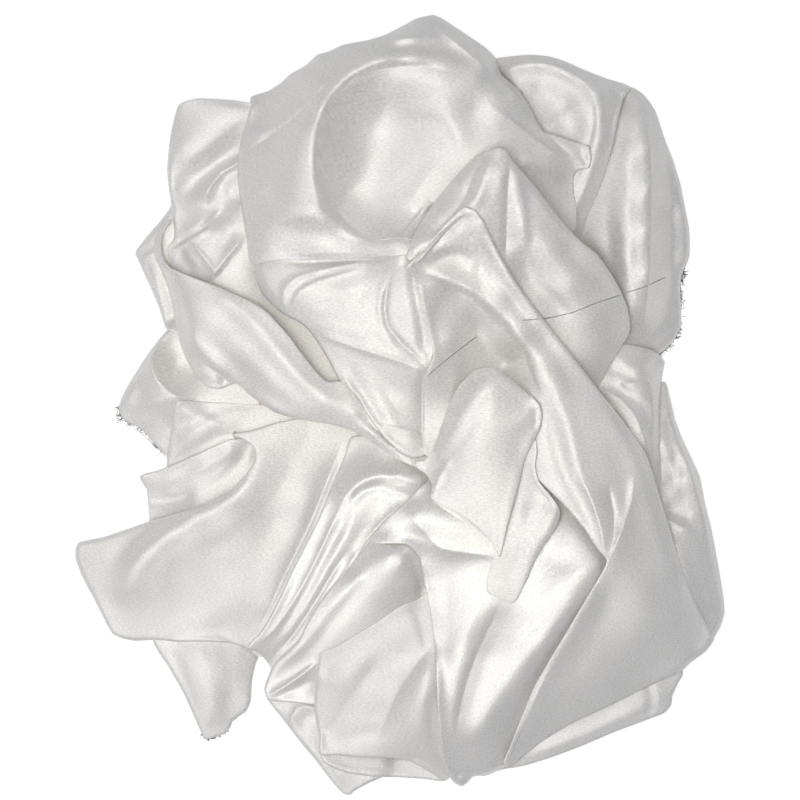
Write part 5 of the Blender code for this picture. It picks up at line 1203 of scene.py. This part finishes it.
lay("middle_sweep", reach=7, edge=[  # x, y, z, rise
    (38, 117.5, 78, 2), (45, 115.5, 78, 3), (50, 109, 76, 5), (55, 98, 73, 6), (62, 85, 69, 7),
    (70, 72, 65, 8), (80, 58.5, 60, 8), (90, 46, 56, 8), (100, 33.5, 52, 8), (110, 20.5, 48, 8),
    (118, 10, 46, 8), (127, -1, 44, 8), (137, -14, 42, 8), (147, -28.5, 40, 8), (151, -39, 38, 8),
    (155, -52, 36, 8), (160, -68, 33, 8), (165, -84, 30, 8), (170, -99, 27, 8), (177, -117, 22, 7),
    (184, -131, 16, 6), (189.5, -141, 6, 8), (184, -149, 4, 10), (175, -156, 4, 12),
    (171, -160, 6, 10), (165, -163, 8, 8), (150, -169.5, 12, 4), (135, -177, 13, 3),
    (120, -184, 13, 3), (105, -191, 12, 3), (90, -200, 10, 3), (78, -208.5, 8, 3),
    (66, -217.5, 4, 3), (62, -216, 5, 3), (66, -206, 14, 2), (72, -190, 22, 2), (80, -170, 30, 3),
    (90, -152, 36, 3), (100, -135, 41, 3), (110, -118, 45, 3), (119, -103, 49, 2),
    (123.5, -93, 52, 1), (118, -86, 52, 2), (110, -74, 52, 3), (100, -62, 52, 3), (91, -53, 52, 2),
    (83, -45, 51, 1), (75, -38, 48, 0), (70, -22, 47, 0), (62, -10, 45, 0), (50, -10, 43, 0),
    (40, -18, 41, 0), (28, -30, 39, 0), (15, -30, 38, 0.2), (14.5, -10, 38, 0.2),
    (14.5, 10, 41, 0.2), (16, 20, 46, 0.2), (20, 30, 48, 0.2), (18, 42, 52, 0.2), (15, 56, 56, 0.2),
    (11, 70, 62, 0.2), (7, 78, 68, 0.2), (3, 81, 70, 1), (12, 90, 72, 2), (22, 102, 74, 2),
    (30, 111, 76, 2),
], crest=[  # x, y, z
    (30, 98, 66), (38, 88, 62), (20, 89, 66), (12, 81, 69), (25, 75, 67), (40, 68, 64),
    (55, 56, 61), (68, 38, 58), (78, 18, 55), (55, 80, 67), (68, 60, 63), (85, 38, 58),
    (100, 15, 55), (112, -5, 54), (25, 60, 57), (32, 40, 54), (45, 45, 44), (50, 32, 38),
    (66, 25, 36), (25, 15, 45), (38, 22, 42), (100, -20, 54), (120, -25, 52), (135, -35, 46),
    (105, -45, 55), (118, -60, 55), (135, -60, 47), (128, -80, 53), (146, -75, 44), (142, -95, 46),
    (160, -100, 38), (125, -120, 42), (152, -125, 36), (170, -135, 24), (110, -145, 38),
    (135, -150, 30), (100, -175, 26), (125, -172, 22), (85, -195, 18),
], folds=[  # height, left, right, sharp, path
    (2.5, 2, 1.6, 1, [(3, 81), (12, 90), (22, 101), (31, 110), (39, 115), (46, 113)]),
    (-4, 1.5, 9, 1, [(8, 83), (18, 93), (28, 103), (37, 111), (43, 112)]),
    (1.5, 4, 4, 0, [(44, 112), (46, 100), (44, 88), (40, 78)]),
    (-9, 1.2, 18, 1, [(12, 79), (28, 72), (43, 64), (60, 49), (74, 30), (84, 4)]),
    (3, 6, 1.2, 1, [(10, 80), (28, 73.2), (43.5, 65.3), (61, 50), (75.5, 30), (85, 6)]),
    (2.5, 2.5, 6, 0, [(47, 114), (55, 98), (64, 82), (76, 64), (92, 44)]),
    (-2, 5, 5, 0, [(56, 84), (68, 64), (82, 44), (98, 22), (112, 2)]),
    (2.5, 6, 6, 0, [(84, 30), (94, 8), (100, -14), (106, -38), (114, -64)]),
    (-2.5, 5, 5, 0, [(90, 0), (93, -18), (98, -36), (108, -56), (120, -78)]),
    (2.2, 4, 7, 0, [(112, 12), (124, -6), (138, -30), (148, -58), (158, -86), (172, -114)]),
    (2.6, 2, 6, 1, [(123, -92), (120, -74), (114, -56), (106, -40)]),
    (2, 2, 6, 1, [(124, -93), (132, -76), (138, -58), (140, -40)]),
    (-2, 5, 1.5, 1, [(124, -93), (128, -80), (128, -64), (124, -46)]),
    (2.4, 6, 3, 1, [(123, -94), (114, -112), (102, -134), (90, -156), (78, -182), (68, -206)]),
    (-1.5, 8, 8, 0, [(126, -98), (122, -120), (112, -146), (98, -172)]),
    (1.4, 10, 10, 0, [(138, -96), (146, -118), (142, -140), (128, -160)]),
], sag=12)


# ---- fold strip ----
# A narrow standing fold right of the middle, turned over at its long edge and tucked under
# the two stretches beside it.

lay("fold_strip", reach=3, edge=[  # x, y, z, rise
    (79, -16, 46, 0), (82, -27, 47, 1), (81, -37, 47, 2), (83.5, -46, 48, 2), (90, -54, 48, 2),
    (95, -61, 48, 2), (96, -66, 48, 2), (93, -74, 48, 2), (87, -83, 47, 2), (81, -93, 46, 2),
    (77, -103, 45, 2), (73, -110, 44, 1), (68.5, -118, 42, 0.6), (60, -116, 42, 0.3),
    (52.5, -112, 42, 1), (52, -104, 41, 0), (56, -92, 42, 0), (60, -75, 43, 0), (66, -50, 44, 0),
    (70, -35, 44, 0), (74, -22, 44, 0),
], crest=[  # x, y, z
    (72, -60, 46), (84, -62, 51), (78, -85, 49),
], folds=[  # height, left, right, sharp, path
    (1.5, 1.5, 4, 1, [(83.5, -43), (91, -55), (94, -63), (90, -75), (81, -91), (71, -110)]),
    (-1.2, 4, 4, 0, [(76, -36), (74, -54), (72, -74), (66, -94), (60, -110)]),
])


# ---- lens fold ----
# The round standing fold in the middle. It lies on the sweep and the swag, drawn to a point
# at its lower end, and is the last of the stretches to be laid.

lay("lens_fold", reach=6, edge=[  # x, y, z, rise
    (9, -34.5, 39, 0.2), (15, -33, 40, 0.2), (20, -26, 42, 0.2), (25, -12, 44, 0.2),
    (30, 2, 46, 0.2), (36, 12.5, 48, 0.2), (43, 19.5, 50, 0.3), (50, 22.5, 52, 1),
    (58, 21.5, 53, 3), (67, 15, 54, 3), (76, 7.3, 53, 2), (83, 1, 52, 1), (85, -6, 51, 1),
    (84, -14, 51, 2), (80, -22, 50, 2), (75.5, -30.5, 50, 2), (73.5, -36.5, 50, 2),
    (71.5, -46, 50, 2), (68, -59, 50, 2), (64.5, -72, 50, 2), (61.5, -85, 49, 1),
    (59.5, -91, 48, 1), (57.5, -87, 48, 0.3), (52, -79, 48, 0.3), (45, -72, 48, 0.3),
    (35, -65, 48, 0.3), (25, -60, 47, 0.3), (18.5, -55.5, 46, 0.3), (19, -47, 43, 0.3),
    (15, -41, 41, 0.3), (10, -37.5, 39, 0.3),
], crest=[  # x, y, z
    (35, -5, 54), (45, 8, 58), (55, 13, 60), (30, -20, 51), (45, -10, 58), (60, 0, 59),
    (55, -30, 55), (40, -45, 51), (65, -30, 54), (52, -60, 51), (75, -8, 56), (30, -38, 49),
], folds=[  # height, left, right, sharp, path
    (1.6, 5, 8, 0, [(16, -34), (27, -20), (36, -4), (45, 9), (56, 18)]),
    (-1.2, 4, 4, 0, [(24, -36), (36, -22), (46, -6), (58, 8)]),
    (1.5, 1.5, 3, 1, [(86, -6), (80, -19), (74.5, -32), (71, -48), (67, -64), (60.5, -90)]),
    (1.5, 1.4, 4, 1, [(52, 23), (62, 17), (72, 9), (84, 0)]),
    (-1.2, 1.4, 2, 0, [(80, 0), (82, -8), (80, -16)]),
    (1.2, 1.3, 3, 1, [(31, -31), (25, -41), (21, -50), (19, -57)]),
    (-1.2, 3, 3, 0, [(12, -36), (20, -39), (28, -36)]),
], sag=6)


# ---- frayed threads ----
# Loose weft and warp threads at the three raw edges that show. The square was never hemmed,
# so its outermost threads have slipped out and curl away from the cloth.

TUBE_SIDES = 5
TUBE_END = 0.4  # share of a tube's radius that is left at its two ends
FRAY_RADIUS = 0.14  # radius of a loose thread
FRAY_ROOT = 0.8  # length of it that is still in the cloth
FRAY_STEPS = 7  # straight steps that it is made of
FRAY_LENGTHS = (0.35, 1.3)  # shortest and longest, as a share of the length in its row
FRAY_SPREAD = 38  # spread of the threads' directions, in degrees
FRAY_CURL = 0.5  # spread of their bend at each step, in radians
FRAY_FALL = (-0.12, 0.15)  # mean and spread of the slope at each step


def tube(path, radius):
    """Points and faces of a thin tube along the path, narrower at its two ends."""
    path = np.array(path, float)
    along = np.gradient(path, axis=0)
    along /= np.linalg.norm(along, axis=1)[:, None]
    aside = np.cross(along, (0, 0, 1))
    aside /= np.maximum(np.linalg.norm(aside, axis=1), 1e-6)[:, None]
    above = np.cross(along, aside)
    at_end = np.isin(np.arange(len(path)), (0, len(path) - 1))
    thick = radius * np.where(at_end, TUBE_END, 1.0)
    turns = np.arange(TUBE_SIDES) * 2 * math.pi / TUBE_SIDES
    rings = [
        path + (aside * math.cos(turn) + above * math.sin(turn)) * thick[:, None] for turn in turns
    ]
    points = np.stack(rings, axis=1).reshape(-1, 3)
    start_cap, end_cap = range(TUBE_SIDES - 1, -1, -1), range(len(points) - TUBE_SIDES, len(points))
    faces = [tuple(start_cap), tuple(end_cap)]
    for ring in range(len(path) - 1):
        low, high = ring * TUBE_SIDES, (ring + 1) * TUBE_SIDES
        for corner in range(TUBE_SIDES):
            ahead = (corner + 1) % TUBE_SIDES
            faces.append((low + corner, low + ahead, high + ahead, high + corner))
    return points, faces


def joined_tubes(name, paths, radius, material):
    """One piece made of a tube along each path."""
    points, faces = [], []
    for path in paths:
        start = sum(len(part) for part in points)
        tube_points, tube_faces = tube(path, radius)
        points.append(tube_points)
        faces += [tuple(corner + start for corner in face) for face in tube_faces]
    mesh = bpy.data.meshes.new(name)
    mesh.from_pydata([Vector(point) * MM for point in np.vstack(points)], [], faces)
    mesh.materials.append(material)
    mesh.polygons.foreach_set("use_smooth", [True] * len(faces))
    piece = bpy.data.objects.new(name, mesh)
    bpy.context.scene.collection.objects.link(piece)
    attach(piece, "root")


def frayed(count, length, outward, seed, edge):
    """Paths of short curled threads that start along the cut edge (x, y, z)."""
    chance = np.random.default_rng(seed)
    line = curve_through(edge, 1, closed=False)
    paths = []
    for _ in range(count):
        place = chance.uniform(0, len(line) - 1.001)
        start = line[int(place)] + (line[int(place) + 1] - line[int(place)]) * (place % 1)
        heading = math.radians(outward + chance.normal(0, FRAY_SPREAD))
        bend = chance.normal(0, FRAY_CURL)
        step = length * chance.uniform(*FRAY_LENGTHS) / (FRAY_STEPS - 1)
        spots = [start - np.array([math.cos(heading), math.sin(heading), 0]) * FRAY_ROOT]
        for _ in range(FRAY_STEPS):
            ahead = np.array([math.cos(heading), math.sin(heading), chance.normal(*FRAY_FALL)])
            spot = spots[-1] + ahead * step
            spot[2] = max(spot[2], 2 * FRAY_RADIUS)
            spots.append(spot)
            heading += bend
        paths.append(spots)
    return paths


FRAYS = [  # count, length, outward in degrees, seed, x, y, z along the cut edge
    (30, 4, 235, 3, [(-170, -1, 1.6), (-168.5, -8, 1.6), (-161, -12, 1.6)]),
    (30, 2.6, 225, 4, [(-161, -12, 1.6), (-155, -16, 1.6), (-148, -24, 1.6), (-142, -30, 1.6)]),
    (34, 2.2, 265, 5, [(-120, -199, 1.6), (-117, -202, 1.6), (-111, -201, 1.6), (-104, -197, 1.6)]),
    (14, 1.4, 310, 6, [(-104, -197, 1.6), (-100, -190.5, 1.6), (-92.5, -184.5, 1.6)]),
    (76, 3, 0, 7, [(172, 83, 2), (169.5, 70, 1.8), (169.8, 58, 1.8)]),
    (84, 3.2, 325, 8, [(169.8, 58, 1.8), (167, 41, 1.8), (161, 34, 1.8), (156, 30.5, 2)]),
]
LONG_THREADS = [  # x, y, z along the two longest loose threads, at the left corner
    [
        (-160, -13, 1.8), (-157.5, -16, 2.2), (-154.5, -17, 2.4), (-154.2, -14.5, 2.4),
        (-156.6, -13.8, 2), (-157, -16.8, 1.6), (-154.6, -19, 1.2),
    ],
    [(-157, -16, 1), (-150, -23, 1), (-144, -28.5, 1.2), (-140, -33, 1.6)],
]
loose = [path for row in FRAYS for path in frayed(*row)] + LONG_THREADS
joined_tubes("frayed_threads", loose, FRAY_RADIUS, white_satin)


# ---- pulled threads ----
# Two snagged threads of the weave. Each stands out as a hair line on the cloth, held at both
# ends by the weave itself. The longer one crosses from one stretch to the next.

PULLED_RADIUS = 0.17  # radius of the raised thread
PULLED_LIFT = 0.12  # height of its middle over the cloth


def on_cloth(row, lift):
    """The row's path with each spot raised to just above the cloth under it."""
    line = curve_through([(x, y, 0) for x, y in row], 2, closed=False)[:, :2]
    height = on_map(heap_top, line, np.zeros(2, int))
    for _ in range(2):
        height = np.maximum(height, (np.roll(height, 1) + np.roll(height, -1)) / 2)
    return np.column_stack([line, height + lift])


PULLED_THREADS = [  # x, y along each thread
    [(73, 50.5), (88, 52), (102, 55), (120, 62), (131, 65.5)],
    [(136, 67.5), (147, 71), (160, 77)],
    [(16, 17), (24, 24), (34, 32), (46, 41)],
]
pulled = [on_cloth(row, PULLED_LIFT) for row in PULLED_THREADS]
joined_tubes("pulled_threads", pulled, PULLED_RADIUS, white_satin)


# ---- floor, light and camera ----
# Plain white table under even soft light: a large soft lamp above, two weaker ones at the
# left and the right, a warm spot on the middle, and a dim bluish room. The camera looks
# straight down.

floor_mesh = bpy.data.meshes.new("floor")
corners = [(-6, -6), (6, -6), (6, 6), (-6, 6)]
FLOOR_LEVEL = -0.0002  # just under the heap, so that the two faces never meet
floor_mesh.from_pydata([(x, y, FLOOR_LEVEL) for x, y in corners], [], [(0, 1, 2, 3)])
floor = bpy.data.objects.new("floor", floor_mesh)
bpy.context.scene.collection.objects.link(floor)
paper = bpy.data.materials.new("white_table")
paper.use_nodes = True
nodes, links = paper.node_tree.nodes, paper.node_tree.links
table = nodes["Principled BSDF"]
table.inputs["Base Color"].default_value = (0.36, 0.36, 0.37, 1)
table.inputs["Roughness"].default_value = 0.9
table.inputs["Specular IOR Level"].default_value = 0.0
glow = nodes.new("ShaderNodeEmission")
glow.inputs["Color"].default_value = (1, 1, 1, 1)
glow.inputs["Strength"].default_value = 0.82
both = nodes.new("ShaderNodeAddShader")
pick = nodes.new("ShaderNodeMixShader")
path = nodes.new("ShaderNodeLightPath")
links.new(table.outputs[0], both.inputs[0])
links.new(glow.outputs[0], both.inputs[1])
seen = nodes.new("ShaderNodeMath")
seen.operation = "MAXIMUM"
mirrored = nodes.new("ShaderNodeMath")
mirrored.operation = "MAXIMUM"
links.new(path.outputs["Is Glossy Ray"], mirrored.inputs[0])
links.new(path.outputs["Is Transmission Ray"], mirrored.inputs[1])
links.new(path.outputs["Is Camera Ray"], seen.inputs[0])
links.new(mirrored.outputs[0], seen.inputs[1])
links.new(seen.outputs[0], pick.inputs[0])
links.new(table.outputs[0], pick.inputs[1])
links.new(both.outputs[0], pick.inputs[2])
links.new(pick.outputs[0], nodes["Material Output"].inputs["Surface"])
floor_mesh.materials.append(paper)


def soft_lamp(name, place, size, power):
    """A square softbox that faces the middle of the heap."""
    lamp = bpy.data.lights.new(name, "AREA")
    lamp.size = size
    lamp.energy = power
    holder = bpy.data.objects.new(name, lamp)
    holder.location = place
    holder.rotation_euler = (Vector((0, 0, 0)) - Vector(place)).to_track_quat("-Z", "Y").to_euler()
    bpy.context.scene.collection.objects.link(holder)


soft_lamp("top_lamp", (-0.4, -0.1, 2.6), 1.2, 26)
soft_lamp("left_lamp", (-1.5, -0.6, 1.7), 1.3, 10)
soft_lamp("right_lamp", (1.4, 1.0, 1.9), 1.3, 6)

warm = bpy.data.lights.new("warm_lamp", "SPOT")
warm.energy = 34
warm.color = (1, 0.9, 0.52)
warm.spot_size = math.radians(9)
warm.spot_blend = 1
warm.shadow_soft_size = 0.2
warm_holder = bpy.data.objects.new("warm_lamp", warm)
warm_holder.location = (-0.02, 0, 2.4)
bpy.context.scene.collection.objects.link(warm_holder)

world = bpy.data.worlds.new("room")
bpy.context.scene.world = world
world.use_nodes = True
room = world.node_tree.nodes["Background"]
room.inputs["Color"].default_value = (0.84, 0.88, 1.0, 1)
room.inputs["Strength"].default_value = 0.26

lens = bpy.data.cameras.new("camera")
lens.lens = 300
lens.clip_end = 50
camera = bpy.data.objects.new("camera", lens)
camera.location = (0, 0.003, 4.03)
bpy.context.scene.collection.objects.link(camera)
bpy.context.scene.camera = camera
bpy.context.scene.view_settings.view_transform = "Standard"
